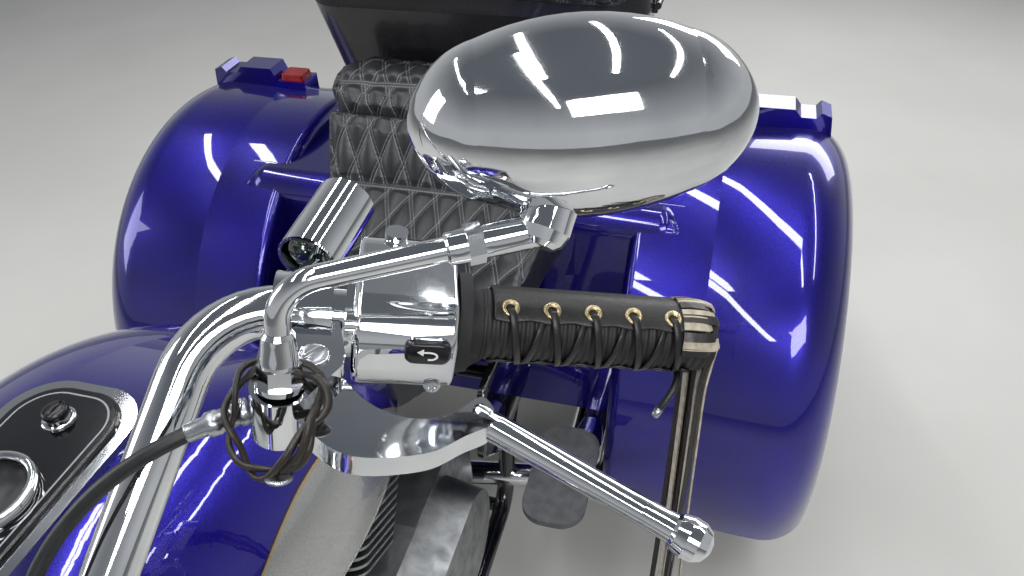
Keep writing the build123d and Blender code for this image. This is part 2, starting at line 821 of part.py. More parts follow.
# Tail lamps and a blank number plate on the tub's rear wall
lamp_depth = 9
plate_z = 385
plate_hole_spacing = 150
plate_hole_radius = 3.5
with BuildPart() as tail_lamps:
    for side in (-1, 1):
        box_between(
            (side * 347 - 34, body_rear_y, 525), (side * 347 + 34, body_rear_y + lamp_depth, 655)
        )
    fillet(tail_lamps.edges().group_by(Axis.Y)[-1], radius=5)
    for side in (-1, 1):
        inner, outer = fender_side_x - 244, fender_side_x - 190
        with BuildSketch(Plane.XY.offset(crest_step_z)) as strip:
            with Locations((side * (inner + outer) / 2, crest_front_y + crest_length / 2)):
                RectangleRounded(outer - inner, crest_length - 10, 8)
        extrude(strip.sketch, amount=12, taper=12)
save(tail_lamps.part, "tail_lamps")

with BuildPart() as number_plate:
    with BuildSketch(Plane(origin=(0, body_rear_y, plate_z), x_dir=(-1, 0, 0), z_dir=(0, 1, 0))) as blank:
        RectangleRounded(180, 120, 8)
        with GridLocations(plate_hole_spacing, 90, 2, 2):
            Circle(plate_hole_radius, mode=Mode.SUBTRACT)
    extrude(blank.sketch, amount=3)
save(number_plate.part, "number_plate")

# Luggage trunk on two rails above the tub, with a domed lid hinged on its left edge
trunk_middle_y = trunk_front_y + trunk_length / 2
trunk_low_half = 272
trunk_half = 302
rail_radius = 11
with BuildPart() as trunk_stand:
    for side in (-1, 1):
        bent_rod(
            [
                (side * 165, trunk_front_y + 45, body_top_z),
                (side * 165, trunk_front_y + 45, trunk_bottom_z - rail_radius),
                (side * 165, trunk_front_y + trunk_length - 70, trunk_bottom_z - rail_radius),
                (side * 165, trunk_front_y + trunk_length - 70, body_top_z),
            ],
            [40, 40],
            rail_radius,
        )
save(trunk_stand.part, "trunk_stand")


def trunk_block(inset, low_z, high_z):
    """The trunk's tapered tray, moved in by a wall thickness."""
    levels = []
    for z, half in ((low_z, trunk_low_half), (high_z, trunk_half)):
        with BuildSketch(Plane.XY.offset(z)) as level:
            with Locations((0, trunk_middle_y)):
                RectangleRounded(
                    2 * (half - inset), trunk_length - 2 * inset - (trunk_half - half), 70 - inset
                )
        levels.append(level.sketch)
    loft(levels)


with BuildPart() as tray_space:
    trunk_block(trunk_wall, trunk_bottom_z + trunk_wall, trunk_seam_z + 1)
hinge_x = trunk_half + 7
hinge_radius = 6
hinge_ends = (trunk_front_y + 110, trunk_front_y + trunk_length - 110)
with BuildPart() as tour_trunk:
    trunk_block(0, trunk_bottom_z, trunk_seam_z)
    add(tray_space.part, mode=Mode.SUBTRACT)
    for y in hinge_ends:
        rod((hinge_x, y - 24, trunk_seam_z), (hinge_x, y - 2, trunk_seam_z), hinge_radius)
        rod((hinge_x, y - 24, trunk_seam_z), (hinge_x, y + 24, trunk_seam_z), 2.5)
        box_between((trunk_half - 4, y - 24, trunk_seam_z - 12), (hinge_x, y - 2, trunk_seam_z - 4))
save(tour_trunk.part, "tour_trunk")

lid_taper = 7
backrest_low = 26
backrest_height = 66
backrest_half = 276
latch_y = (trunk_middle_y - 120, trunk_middle_y + 120)
with BuildPart() as lid_space:
    with BuildSketch(Plane.XY.offset(trunk_seam_z)):
        with Locations((0, trunk_middle_y)):
            RectangleRounded(2 * (trunk_half - trunk_wall), trunk_length - 2 * trunk_wall, 64)
    extrude(amount=trunk_top_z - trunk_seam_z - trunk_wall, taper=lid_taper)
    fillet(lid_space.edges().group_by(Axis.Z)[-1], radius=30)
with BuildPart() as tour_trunk_lid:
    with BuildSketch(Plane.XY.offset(trunk_seam_z + seat_gap)):
        with Locations((0, trunk_middle_y)):
            RectangleRounded(2 * trunk_half, trunk_length, 70)
    extrude(amount=trunk_top_z - trunk_seam_z, taper=lid_taper)
    fillet(tour_trunk_lid.edges().group_by(Axis.Z)[-1], radius=34)
    add(lid_space.part, mode=Mode.SUBTRACT)
    for y in hinge_ends:
        rod((hinge_x, y + 2, trunk_seam_z), (hinge_x, y + 24, trunk_seam_z), hinge_radius)
        box_between((trunk_half - 5, y + 2, trunk_seam_z + 3), (hinge_x, y + 24, trunk_seam_z + 12))
        rod(
            (hinge_x, y - 30, trunk_seam_z),
            (hinge_x, y + 30, trunk_seam_z),
            2.5 + running_gap,
            mode=Mode.SUBTRACT,
        )
    for y in latch_y:
        box_between(
            (-trunk_half - 4, y - 17, trunk_seam_z - 26),
            (-trunk_half - seat_gap, y + 17, trunk_seam_z + 14),
        )
        box_between(
            (-trunk_half - 1, y - 14, trunk_seam_z + 2),
            (-trunk_half + 3, y + 14, trunk_seam_z + 14),
        )
save(tour_trunk_lid.part, "tour_trunk_lid")

# The backrest stands on the lid's sloping front face and swings up with it
lid_face = Plane(
    origin=(0, trunk_front_y, trunk_seam_z),
    x_dir=(1, 0, 0),
    z_dir=(0, -math.cos(math.radians(lid_taper)), math.sin(math.radians(lid_taper))),
)
with BuildPart() as backrest_pad:
    with BuildSketch(lid_face.offset(seat_gap)) as cushion:
        with Locations((0, backrest_low + backrest_height / 2)):
            RectangleRounded(2 * backrest_half, backrest_height, 26)
    extrude(cushion.sketch, amount=46)
    fillet(backrest_pad.edges().group_by(Axis.Y)[0], radius=18)
save(backrest_pad.part, "backrest_pad")

# Footboards and the pedals by the rider's boards
board_table = (
    # x, y, z, width, length: the rider's and the passenger's board
    (260, -200, 318, 110, 290),
    (254, 340, 366, 104, 206),
)
board_thickness = 12
pedal_y = -392
pedal_z = 368
with BuildPart() as footboards:
    for side in (-1, 1):
        for x, y, z, width, length in board_table:
            with BuildSketch(Plane.XY.offset(z)) as board:
                with Locations((side * x, y)):
                    RectangleRounded(width, length, 40)
            extrude(board.sketch, amount=board_thickness)
        rod((side * 90, -80, 324), (side * 240, -80, 324), 9)
        rod((side * cradle_half_width, -305, 318), (side * 240, -305, 324), 9)
        rod((side * cradle_half_width, 436, 350), (side * 225, 380, 368), 9)
    add(frame.part, mode=Mode.SUBTRACT)
    add(crankcase.part, mode=Mode.SUBTRACT)
save(footboards.part, "footboards")

with BuildPart() as foot_pedals:
    for side in (-1, 1):
        rod((side * 190, -305, 324), (side * 190, pedal_y, pedal_z), 7)
        rod((side * 180, pedal_y, pedal_z), (side * 250, pedal_y, pedal_z), 11)
    add(footboards.part, mode=Mode.SUBTRACT)
save(foot_pedals.part, "foot_pedals")

# Fork: tubes, sliders with the front axle and calipers, and the clamps on their stem
axle_back = -fork_offset
axle_along = front_axle_along
front_fender_radius = front_tyre_radius + 20
slider_top = axle_along + front_fender_radius + 6
tube_overlap = 60
with BuildPart() as fork_tubes:
    for side in (-1, 1):
        rod(
            steer_point(side * fork_half_spacing, axle_back, slider_top - tube_overlap + seat_gap),
            steer_point(side * fork_half_spacing, axle_back, fork_tube_top),
            fork_tube_radius,
        )
save(fork_tubes.part, "fork_tubes")

caliper_slot = 7.5
with BuildPart() as fork_sliders:
    for side in (-1, 1):
        x = side * fork_half_spacing
        rod(
            steer_point(x, axle_back, axle_along - 34),
            steer_point(x, axle_back, slider_top),
            slider_radius,
        )
        rod(
            steer_point(x, axle_back, slider_top - tube_overlap),
            steer_point(x, axle_back, slider_top + 1),
            fork_tube_radius + seat_gap,
            mode=Mode.SUBTRACT,
        )
        with BuildSketch(steering.offset(axle_along + 84)) as caliper:
            with Locations((side * 76, axle_back + 48)):
                RectangleRounded(48, 58, 8)
        extrude(caliper.sketch, amount=68)
        rod(
            (side * (disc_x - caliper_slot), front_axle_y, front_tyre_radius),
            (side * (disc_x + caliper_slot), front_axle_y, front_tyre_radius),
            disc_radius + 5,
            mode=Mode.SUBTRACT,
        )
    rod(
        (-fork_half_spacing - 36, front_axle_y, front_tyre_radius),
        (fork_half_spacing + 36, front_axle_y, front_tyre_radius),
        axle_radius,
    )
save(fork_sliders.part, "fork_sliders")

bar_middle = steer_point(0, axle_back, bar_clamp_height)
clamp_half = 142
clamp_front = -76
clamp_table = (
    # along the steering axis, thickness, rear edge
    (clamp_low, clamp_thickness, 24),
    (clamp_high, top_clamp_thickness, -12),
)
with BuildPart() as triple_clamps:
    for along, thickness, back_edge in clamp_table:
        with BuildSketch(steering.offset(along)) as plate:
            with Locations((0, (clamp_front + back_edge) / 2)):
                RectangleRounded(2 * clamp_half, back_edge - clamp_front, 14)
            Circle(33)
            with Locations((-fork_half_spacing, -fork_offset), (fork_half_spacing, -fork_offset)):
                Circle(fork_tube_radius + seat_gap, mode=Mode.SUBTRACT)
        extrude(plate.sketch, amount=thickness)
    rod(steer_point(0, 0, clamp_low), steer_point(0, 0, clamp_high + top_clamp_thickness + 10), stem_radius)
    for side in (-1, 1):
        with BuildSketch(steering.offset(clamp_high + top_clamp_thickness)) as riser:
            with Locations((side * bar_clamp_half_spacing, axle_back)):
                RectangleRounded(34, 44, 8)
        extrude(riser.sketch, amount=bar_clamp_height + 21 - clamp_high - top_clamp_thickness)
    rod(
        (-90, bar_middle.Y, bar_middle.Z),
        (90, bar_middle.Y, bar_middle.Z),
        bar_radius + seat_gap,
        mode=Mode.SUBTRACT,
    )
save(triple_clamps.part, "triple_clamps")

# Front fender: a hugging shell with side skirts, held to the sliders by short studs
front_fender_half = front_tyre_width / 2 + 13
front_fender_start = 28
front_fender_sweep = 166
with BuildPart() as front_fender:
    lead = math.radians(front_fender_start)
    with BuildSketch(
        Plane(
            origin=(0, front_axle_y, front_tyre_radius),
            x_dir=(1, 0, 0),
            z_dir=(0, -math.sin(lead), -math.cos(lead)),
        )
    ) as shell:
        with BuildLine():
            Polyline(
                (-front_fender_half, front_fender_radius - 58),
                (-front_fender_half, front_fender_radius - 26),
            )
            ThreePointArc(
                (-front_fender_half, front_fender_radius - 26),
                (0, front_fender_radius),
                (front_fender_half, front_fender_radius - 26),
            )
            Polyline(
                (front_fender_half, front_fender_radius - 26),
                (front_fender_half, front_fender_radius - 58),
                (-front_fender_half, front_fender_radius - 58),
            )
        make_face()
        with BuildLine():
            Polyline(
                (-front_fender_half + 4, front_fender_radius - 60),
                (-front_fender_half + 4, front_fender_radius - 28),
            )
            ThreePointArc(
                (-front_fender_half + 4, front_fender_radius - 28),
                (0, front_fender_radius - 4),
                (front_fender_half - 4, front_fender_radius - 28),
            )
            Polyline(
                (front_fender_half - 4, front_fender_radius - 28),
                (front_fender_half - 4, front_fender_radius - 60),
                (-front_fender_half + 4, front_fender_radius - 60),
            )
        make_face(mode=Mode.SUBTRACT)
    revolve(
        shell.sketch,
        axis=Axis((0, front_axle_y, front_tyre_radius), (-1, 0, 0)),
        revolution_arc=front_fender_sweep,
    )
    for side in (-1, 1):
        for inward in (46, 20):
            along = axle_along + front_fender_radius - inward
            rod(
                steer_point(side * (front_fender_half - 2), axle_back, along),
                steer_point(side * (fork_half_spacing - slider_radius + 4), axle_back, along),
                8,
            )
    add(fork_sliders.part, mode=Mode.SUBTRACT)
save(front_fender.part, "front_fender")

# Headlamp on an arm from the lower clamp, and bullet turn signals on its ends
headlamp_z = 886
headlamp_radius = 95
headlamp_back_y = -672
headlamp_front_y = -806
with BuildPart() as headlamp:
    with BuildSketch(Plane(origin=(0, 0, headlamp_z), x_dir=(0, -1, 0), z_dir=(-1, 0, 0))) as bowl:
        with BuildLine():
            Line((-headlamp_back_y, 0), (-headlamp_front_y, 0))
            Polyline(
                (-headlamp_front_y, 0),
                (-headlamp_front_y, headlamp_radius),
                (-headlamp_front_y - 24, headlamp_radius),
                (-headlamp_front_y - 30, headlamp_radius - 8),
            )
            ThreePointArc(
                (-headlamp_front_y - 30, headlamp_radius - 8),
                (-headlamp_back_y + 26, headlamp_radius - 34),
                (-headlamp_back_y, 16),
            )
            Line((-headlamp_back_y, 16), (-headlamp_back_y, 0))
        make_face()
    revolve(bowl.sketch, axis=Axis((0, 0, headlamp_z), (0, -1, 0)))
    rod(
        (0, headlamp_front_y + 8, headlamp_z),
        (0, headlamp_front_y - 1, headlamp_z),
        headlamp_radius - 9,
        mode=Mode.SUBTRACT,
    )
    rod(
        steer_point(0, clamp_front, clamp_low + 17),
        steer_point(0, clamp_front - 66, clamp_low + 17),
        13,
    )
save(headlamp.part, "headlamp")

with BuildPart() as headlamp_lens:
    lens_radius = headlamp_radius - 9 - seat_gap
    rod((0, headlamp_front_y + 8, headlamp_z), (0, headlamp_front_y - 9, headlamp_z), lens_radius)
    fillet(headlamp_lens.edges().group_by(Axis.Y)[0], radius=12)
save(headlamp_lens.part, "headlamp_lens")

signal_x = 205
with BuildPart() as turn_signals:
    for side in (-1, 1):
        rod(
            steer_point(side * clamp_half, axle_back, clamp_low + 17),
            steer_point(side * signal_x, axle_back, clamp_low + 17),
            9,
        )
        middle = steer_point(side * signal_x, axle_back, clamp_low + 17)
        rod((middle.X, middle.Y - 42, middle.Z), (middle.X, middle.Y + 36, middle.Z), 33)
    fillet(turn_signals.edges().group_by(Axis.Y)[-1], radius=22)
    fillet(turn_signals.edges().group_by(Axis.Y)[0], radius=6)
save(turn_signals.part, "turn_signals")

# Handlebar: pulled back to the rider, held in two risers on the upper clamp
bar_knee = bar_point(0, 0, -125)
with BuildPart() as handlebar:
    bent_rod(
        [
            bar_end_point,
            bar_knee,
            (186, -478, 1052),
            (112, bar_middle.Y, bar_middle.Z),
            bar_middle,
        ],
        [46, 55, 80],
        bar_radius,
    )
    mirror(about=Plane.YZ)
save(handlebar.part, "handlebar")

with BuildPart() as grips:
    with BuildSketch(bar_end) as sleeve:
        Circle(grip_radius)
        Circle(bar_radius + seat_gap, mode=Mode.SUBTRACT)
    extrude(sleeve.sketch, amount=grip_length)
    with BuildSketch(bar_end.offset(-6)) as collar:
        Circle(25)
        Circle(bar_radius + seat_gap, mode=Mode.SUBTRACT)
    extrude(collar.sketch, amount=6)
    with BuildSketch(bar_end.offset(bar_end_length + seat_gap)) as cap:
        Circle(grip_radius)
    extrude(cap.sketch, amount=-(bar_end_length + seat_gap - grip_length))
    rod(bar_point(0, 0, 0), bar_point(0, 0, bar_end_length), bar_radius + seat_gap, mode=Mode.SUBTRACT)
    mirror(about=Plane.YZ)
save(grips.part, "grips")

housing_low = -56
housing_high = -7
with BuildPart() as switch_housings:
    with BuildSketch(bar_end.offset(housing_low)) as body:
        with Locations((6, 1)):
            RectangleRounded(80, 50, 20)
    extrude(body.sketch, amount=housing_high - housing_low)
    fillet(switch_housings.edges().group_by(Axis((0, 0, 0), bar_direction))[0], radius=4)
    fillet(switch_housings.edges().group_by(Axis((0, 0, 0), bar_direction))[-1], radius=3)
    with BuildSketch(bar_end.offset(housing_low - 4)) as clamp:
        Circle(bar_radius + 8)
    extrude(clamp.sketch, amount=5)
    rod(bar_point(-25, 16, housing_low + 6), bar_point(-25, 16, housing_low - 3), 5)
    front_face = Plane(
        origin=bar_point(-29, 10, -21), x_dir=bar_direction, z_dir=-bar_end.x_dir
    )
    with BuildSketch(front_face) as button:
        RectangleRounded(21, 12, 4.5)
    extrude(button.sketch, amount=7)
    rod(bar_point(-29, -13, -17), bar_point(-33.5, -13, -17), 4)
    rod(bar_point(34, 18, -38), bar_point(34, 29, -38), 6)
    rod(bar_point(0, 0, -100), bar_point(0, 0, 0), bar_radius + seat_gap, mode=Mode.SUBTRACT)
    mirror(about=Plane.YZ)
save(switch_housings.part, "switch_housings")

# Lever perches: a ring on the bar, an arm to the lever's pivot and the boss under the mirror stem
pivot = (-37, -8, -72)
mirror_foot = (-57, 6, -84)
lever_thickness = 11.5
perch_bosses = (
    # back, out, radius: on the bar, at the lever's pivot and under the mirror
    (0, -80, 15),
    (pivot[0], pivot[2], 14),
    (mirror_foot[0], mirror_foot[2], 13),
)
with BuildPart() as lever_perches:
    perch_plane = Plane(origin=bar_point(0, 6, 0), x_dir=bar_end.x_dir, z_dir=-bar_end.y_dir)
    with BuildSketch(perch_plane) as arm:
        for back, out, radius in perch_bosses:
            with Locations((back, out)):
                Circle(radius)
        make_hull()
    extrude(arm.sketch, amount=27)
    with BuildSketch(bar_end.offset(-94)) as ring:
        Circle(bar_radius + 7)
    extrude(ring.sketch, amount=28)
    slot_middle = bar_point(pivot[0] - 6, -14, pivot[2] + 5)
    slot = Plane(origin=slot_middle, x_dir=bar_end.x_dir, z_dir=bar_end.y_dir)
    with BuildSketch(slot) as mouth:
        Rectangle(36, 44)
    extrude(mouth.sketch, amount=lever_thickness + 2 * seat_gap, mode=Mode.SUBTRACT)
    rod(bar_point(0, 0, -120), bar_point(0, 0, 0), bar_radius + seat_gap, mode=Mode.SUBTRACT)
    add(handlebar.part, mode=Mode.SUBTRACT)
    mirror(about=Plane.YZ)
save(lever_perches.part, "lever_perches")

# Levers: a pivot boss in the perch, an arm that bends away from the grip and a ball at the tip
lever_blade = (
    # back, out: round the pivot, along the finger side to the knee and back along the front
    (-26, -74), (-40, -60), (-53, -50), (-62, -38), (-65, -19), (-56, -3), (-50, 5),
    (-63, 10), (-73, -2), (-82, -15), (-87, -32), (-86, -56), (-76, -69), (-48, -84),
)
lever_low = -14 + seat_gap
lever_knee = bar_point(-57, lever_low + lever_thickness / 2, 2)
lever_tip = bar_point(-114, -16, 92)
with BuildPart() as levers:
    boss = Plane(origin=bar_point(0, lever_low, 0), x_dir=bar_end.x_dir, z_dir=bar_end.y_dir)
    with BuildSketch(boss) as blade:
        with BuildLine():
            Spline(*[(back, -out) for back, out in lever_blade], periodic=True)
        make_face()
    extrude(blade.sketch, amount=lever_thickness)
    reach = (lever_tip - lever_knee).length
    lathe(lever_knee, lever_tip, ((-4, 4), (0, 7), (reach - 22, 6.2), (reach, 7)))
    lathe(
        lever_tip,
        2 * lever_tip - lever_knee,
        ((-9, 5.5), (-6, 8.2), (-1, 9.6), (4, 9.2), (8, 6.8), (10, 3)),
    )
    add(lever_perches.part, mode=Mode.SUBTRACT)
    mirror(about=Plane.YZ)
save(levers.part, "levers")

# Mirrors: a bent stem, a ball joint, a half egg shell and its glass
stem_radius_mirror = 5.5
stem_base = bar_point(*mirror_foot)
stem_bend = bar_point(-48, 53, -86)
mirror_elbow = bar_point(-28, 78, 22)
casing_radius = 12
mirror_middle = Vector(383, -198, 1305)
mirror_length = 150
mirror_height = 87
mirror_long = Vector(143, 46, 0).normalized()
mirror_facing = Vector(-46, 143, 0).normalized()
mirror_plane = Plane(origin=mirror_middle, x_dir=mirror_long, z_dir=mirror_facing)
mirror_rim = 6


def mirror_egg(mode=Mode.ADD):
    """The whole egg that the mirror's shell is half of: three arcs turned about its long axis."""
    long_half, high_half = mirror_length / 2, mirror_height / 2
    tip_half = 0.12 * high_half
    with BuildSketch(mirror_plane) as egg:
        with BuildLine():
            Polyline((-long_half, tip_half), (-long_half, 0), (long_half, 0), (long_half, tip_half))
            crown = ThreePointArc(
                (0.6 * long_half, 0.8 * high_half),
                (0, high_half),
                (-0.6 * long_half, 0.8 * high_half),
            )
            ThreePointArc(
                (long_half, tip_half), (0.88 * long_half, 0.5 * high_half), crown @ 0
            )
            ThreePointArc(
                crown @ 1, (-0.88 * long_half, 0.5 * high_half), (-long_half, tip_half)
            )
        make_face()
    revolve(egg.sketch, axis=Axis(mirror_middle, mirror_long), mode=mode)


with BuildPart() as mirror_stems:
    bent_rod([stem_base, stem_bend, mirror_elbow], [20], stem_radius_mirror)
    # At the foot: washer, lock nut and a tapered ferrule
    lathe(stem_base, stem_bend, ((0, 10.5), (2.5, 10.5)))
    hex_nut(stem_base, stem_bend, 9.4, 11)
    lathe(stem_base, stem_bend, ((11, 8.2), (13, 8.2), (25, 7), (27, 5.8)))
    # At the elbow: ferrule, lock nut and the arm of the ball joint's casing
    lathe(mirror_elbow, stem_bend, ((-6, 6), (-3, 7.6), (27, 7.2), (28, 6.4)))
    hex_nut(mirror_elbow + (stem_bend - mirror_elbow).normalized() * 27, stem_bend, 9, 7)
    lathe(mirror_elbow, stem_bend, ((34, 7.6), (42, 7.2), (43, 6)))
    # The casing itself: two halves that meet at a seam ring
    lathe(
        mirror_elbow,
        mirror_middle,
        (
            (-8, casing_radius - 5),
            (-6, casing_radius - 2),
            (-1, casing_radius),
            (13, casing_radius - 0.4),
            (13.4, casing_radius + 0.9),
            (16, casing_radius + 0.9),
            (16.4, casing_radius),
            (30, casing_radius + 1),
            (52, casing_radius - 3),
        ),
    )
    add(lever_perches.part, mode=Mode.SUBTRACT)
    mirror_egg(mode=Mode.SUBTRACT)
    mirror(about=Plane.YZ)
save(mirror_stems.part, "mirror_stems")

with BuildPart() as mirror_shells:
    mirror_egg()
    with BuildSketch(mirror_plane.offset(mirror_rim)) as behind:
        Rectangle(mirror_length * 2, mirror_height * 2)
    extrude(behind.sketch, amount=mirror_height, mode=Mode.SUBTRACT)
    with BuildSketch(mirror_plane.offset(mirror_rim - 3)) as recess:
        Ellipse(mirror_length / 2 - 6, mirror_height / 2 - 6)
    extrude(recess.sketch, amount=4, mode=Mode.SUBTRACT)
    mirror(about=Plane.YZ)
save(mirror_shells.part, "mirror_shells")

with BuildPart() as mirror_glasses:
    with BuildSketch(mirror_plane.offset(mirror_rim - 3)) as pane:
        Ellipse(mirror_length / 2 - 6 - seat_gap, mirror_height / 2 - 6 - seat_gap)
    extrude(pane.sketch, amount=2.2)
    mirror(about=Plane.YZ)
save(mirror_glasses.part, "mirror_glasses")

# Small lamp body clamped behind the bend of the handlebar, open at its front end
lamp_front = Vector(226, -192, 1199)
lamp_back = Vector(226, -138, 1205)
lamp_radius = 18
with BuildPart() as accessory_lamp:
    rod(lamp_front, lamp_back, lamp_radius)
    rod(lamp_front, (lamp_front + lamp_back) / 2, lamp_radius - 2, mode=Mode.SUBTRACT)
    rod(lamp_front + Vector(0, 22, -13), bar_point(0, 0, -100), 6)
    add(handlebar.part, mode=Mode.SUBTRACT)
    add(lever_perches.part, mode=Mode.SUBTRACT)
save(accessory_lamp.part, "accessory_lamp")

# Clutch cable: from the perch over the bar's bend, down beside the bar and into the headlamp shell
cable_radius = 3.6
cable_points = [
    bar_point(-57, -10, -98),
    Vector(232, -333, 1206),
    Vector(206, -351, 1191),
    Vector(184, -372, 1167),
    Vector(168, -440, 1102),
    Vector(154, -502, 1078),
    Vector(130, -575, 1010),
    Vector(70, -640, 940),
    Vector(30, -700, 916),
]


def easy_bends(points):
    """Bend radii as large as each corner's two runs allow."""
    radii = []
    for before, corner, after in zip(points, points[1:], points[2:]):
        run_in, run_out = corner - before, after - corner
        turn = math.radians(run_in.get_angle(run_out))
        radii.append(0.45 * min(run_in.length, run_out.length) / math.tan(turn / 2))
    return radii


cable_bends = easy_bends(cable_points)
print("the clutch cable's bends, mm:", [round(bend) for bend in cable_bends])
with BuildPart() as clutch_cable:
    bent_rod(cable_points, cable_bends, cable_radius)
    add(lever_perches.part, mode=Mode.SUBTRACT)
    add(headlamp.part, mode=Mode.SUBTRACT)
save(clutch_cable.part, "clutch_cable")

# Leather fringes hanging from the grips' outer ends
fringe_length = 285
fringe_middle = bar_point(0, 0, grip_length - 6)
with BuildPart() as grip_fringes:
    box_between(
        (fringe_middle.X - 5, fringe_middle.Y - 33, fringe_middle.Z - fringe_length),
        (fringe_middle.X + 5, fringe_middle.Y + 33, fringe_middle.Z),
    )
    rod(bar_point(0, 0, 0), bar_point(0, 0, 200), grip_radius + seat_gap, mode=Mode.SUBTRACT)
    mirror(about=Plane.YZ)
save(grip_fringes.part, "grip_fringes")
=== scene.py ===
# %% [markdown]
# # A touring three-wheeler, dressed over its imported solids
# The CAD model gives every hard shape and size. This lesson gives it paint, chrome, leather and
# rubber, and makes the soft goods: quilted seats, laced grips and their fringes.
# Every length is in metres, in the frame of the solids: +Z up, the front towards -Y.

import math

import bmesh
import bpy
import numpy as np
from mathutils import Matrix, Vector


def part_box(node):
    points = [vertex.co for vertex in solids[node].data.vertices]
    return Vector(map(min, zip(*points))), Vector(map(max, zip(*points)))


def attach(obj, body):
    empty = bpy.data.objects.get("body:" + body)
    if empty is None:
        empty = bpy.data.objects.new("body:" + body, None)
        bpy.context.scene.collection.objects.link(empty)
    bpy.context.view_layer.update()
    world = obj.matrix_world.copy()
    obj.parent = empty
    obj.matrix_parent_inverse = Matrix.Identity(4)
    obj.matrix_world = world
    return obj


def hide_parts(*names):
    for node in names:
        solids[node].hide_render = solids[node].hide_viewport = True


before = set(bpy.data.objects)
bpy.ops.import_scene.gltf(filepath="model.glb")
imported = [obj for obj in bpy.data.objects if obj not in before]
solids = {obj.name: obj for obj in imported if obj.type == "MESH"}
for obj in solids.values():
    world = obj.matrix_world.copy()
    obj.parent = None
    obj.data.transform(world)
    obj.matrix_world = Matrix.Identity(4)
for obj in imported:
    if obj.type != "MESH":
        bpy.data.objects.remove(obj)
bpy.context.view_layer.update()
scene = bpy.context.scene

# %% [markdown]
# ## Camera
# The photograph was taken from above the rider's left grip, looking back and down. Its right, up
# and backward directions come from the square floor tiles and the handlebar tube.

# %% Camera at the photograph's place
def linked(name, data):
    """A new object in the scene, unmoved."""
    made = bpy.data.objects.new(name, data)
    scene.collection.objects.link(made)
    return made


camera_data = bpy.data.cameras.new("camera")
camera_data.sensor_width = 36
camera_data.lens = 28.125
camera_data.clip_start = 0.02
camera = linked("camera", camera_data)
right = Vector((0.9640, 0.2628, -0.0398)).normalized()
back = Vector((0.2305, -0.7518, 0.6178)).normalized()
up = back.cross(right).normalized()
right = up.cross(back)
turn = Matrix((right, up, back)).transposed().to_4x4()
camera.matrix_world = Matrix.Translation((0.443, -0.510, 1.461)) @ turn
scene.camera = camera

# %% [markdown]
# ## Colours and nodes
# A screen colour is written as it would be in a drawing program, and shaders want it linear:
# below a small limit the value is divided by 12.92, above it (value + 0.055) / 1.055 is raised
# to the power 2.4.

# %% One way to write a colour and one way to add a shader node
def colour(code):
    """The linear colour of a six-digit screen colour."""
    values = [int(code[k:k + 2], 16) / 255 for k in (0, 2, 4)]
    return [v / 12.92 if v <= 0.04045 else ((v + 0.055) / 1.055) ** 2.4 for v in values] + [1.0]


def add(tree, kind, inputs=None, pick=0, **settings):
    """Adds a node with its settings, fills or links its inputs, and gives back one output."""
    node = tree.nodes.new("ShaderNode" + kind)
    for name, value in settings.items():
        setattr(node, name, value)
    for name, value in (inputs or {}).items():
        if isinstance(value, bpy.types.NodeSocket):
            tree.links.new(value, node.inputs[name])
        else:
            node.inputs[name].default_value = value
    return node.outputs[pick] if node.outputs else node


def sums(tree, operation, *values):
    """A Math node: each value is a number or another node's output."""
    return add(tree, "Math", dict(enumerate(values)), operation=operation)


def blank(name, **shader):
    """A material with one Principled shader. Keywords name its sockets, with _ for a space."""
    made = bpy.data.materials.new(name)
    made.use_nodes = True
    tree = made.node_tree
    bsdf = tree.nodes["Principled BSDF"]
    for key, value in shader.items():
        bsdf.inputs[key.replace("_", " ")].default_value = value
    return made, tree, bsdf


def coordinates(tree, kind="Object"):
    """The x, y and z of the point that is shaded, as three outputs."""
    return add(tree, "SeparateXYZ", {0: add(tree, "TexCoord", pick=kind)}).node.outputs


def patches(tree, size_mm, detail=3, distortion=0):
    """Noise whose patches are about the given size on the object."""
    place = add(tree, "TexCoord", pick="Object")
    scale = 1000 / size_mm
    settings = {"Vector": place, "Scale": scale, "Detail": detail, "Distortion": distortion}
    return add(tree, "TexNoise", settings)


def ramp(tree, value, low, high, low_result, high_result):
    """Maps a value's range low..high to low_result..high_result and holds it there."""
    return add(tree, "MapRange", dict(enumerate((value, low, high, low_result, high_result))))


def mix(tree, factor, first, second):
    """Blends two colours."""
    return add(tree, "Mix", {0: factor, 6: first, 7: second}, pick=2, data_type="RGBA")


def relief(tree, bsdf, height, depth_mm, strength=1.0):
    """Bump on the shader's normal, from a height of 0 to 1 that stands for the given depth."""
    bump = add(tree, "Bump", {"Height": height, "Distance": depth_mm / 1000, "Strength": strength})
    tree.links.new(bump, bsdf.inputs["Normal"])


def drive(tree, bsdf, **sockets):
    """Links values to the shader's sockets, named with _ for a space."""
    for key, value in sockets.items():
        tree.links.new(value, bsdf.inputs[key.replace("_", " ")])


# %% [markdown]
# ## Hard materials
# Each one has what its real surface shows: smudges on chrome, flakes under clear coat, the pebble
# of a casting, the drift of grey in used rubber. Patch and grain sizes are in millimetres.

# %% Metals, paints, plastics and rubber
def coated(
    name, tint, shade, patch_mm, rough=(0.2, 0.3), grain_mm=0, depth_mm=0,
    detail=5, distortion=0, tone_end=0.65, rough_end=0.7, grain_detail=3, **shader,
):
    """Two near colours and a drifting roughness over the same patches, and a grain in relief."""
    made, tree, bsdf = blank(name, **shader)
    drift = patches(tree, patch_mm, detail, distortion)
    tone = ramp(tree, drift, 0.35, tone_end, 0.0, 1.0)
    drive(tree, bsdf, Base_Color=mix(tree, tone, colour(tint), colour(shade)))
    drive(tree, bsdf, Roughness=ramp(tree, drift, 0.3, rough_end, *rough))
    if grain_mm:
        relief(tree, bsdf, patches(tree, grain_mm, grain_detail), depth_mm)
    return made


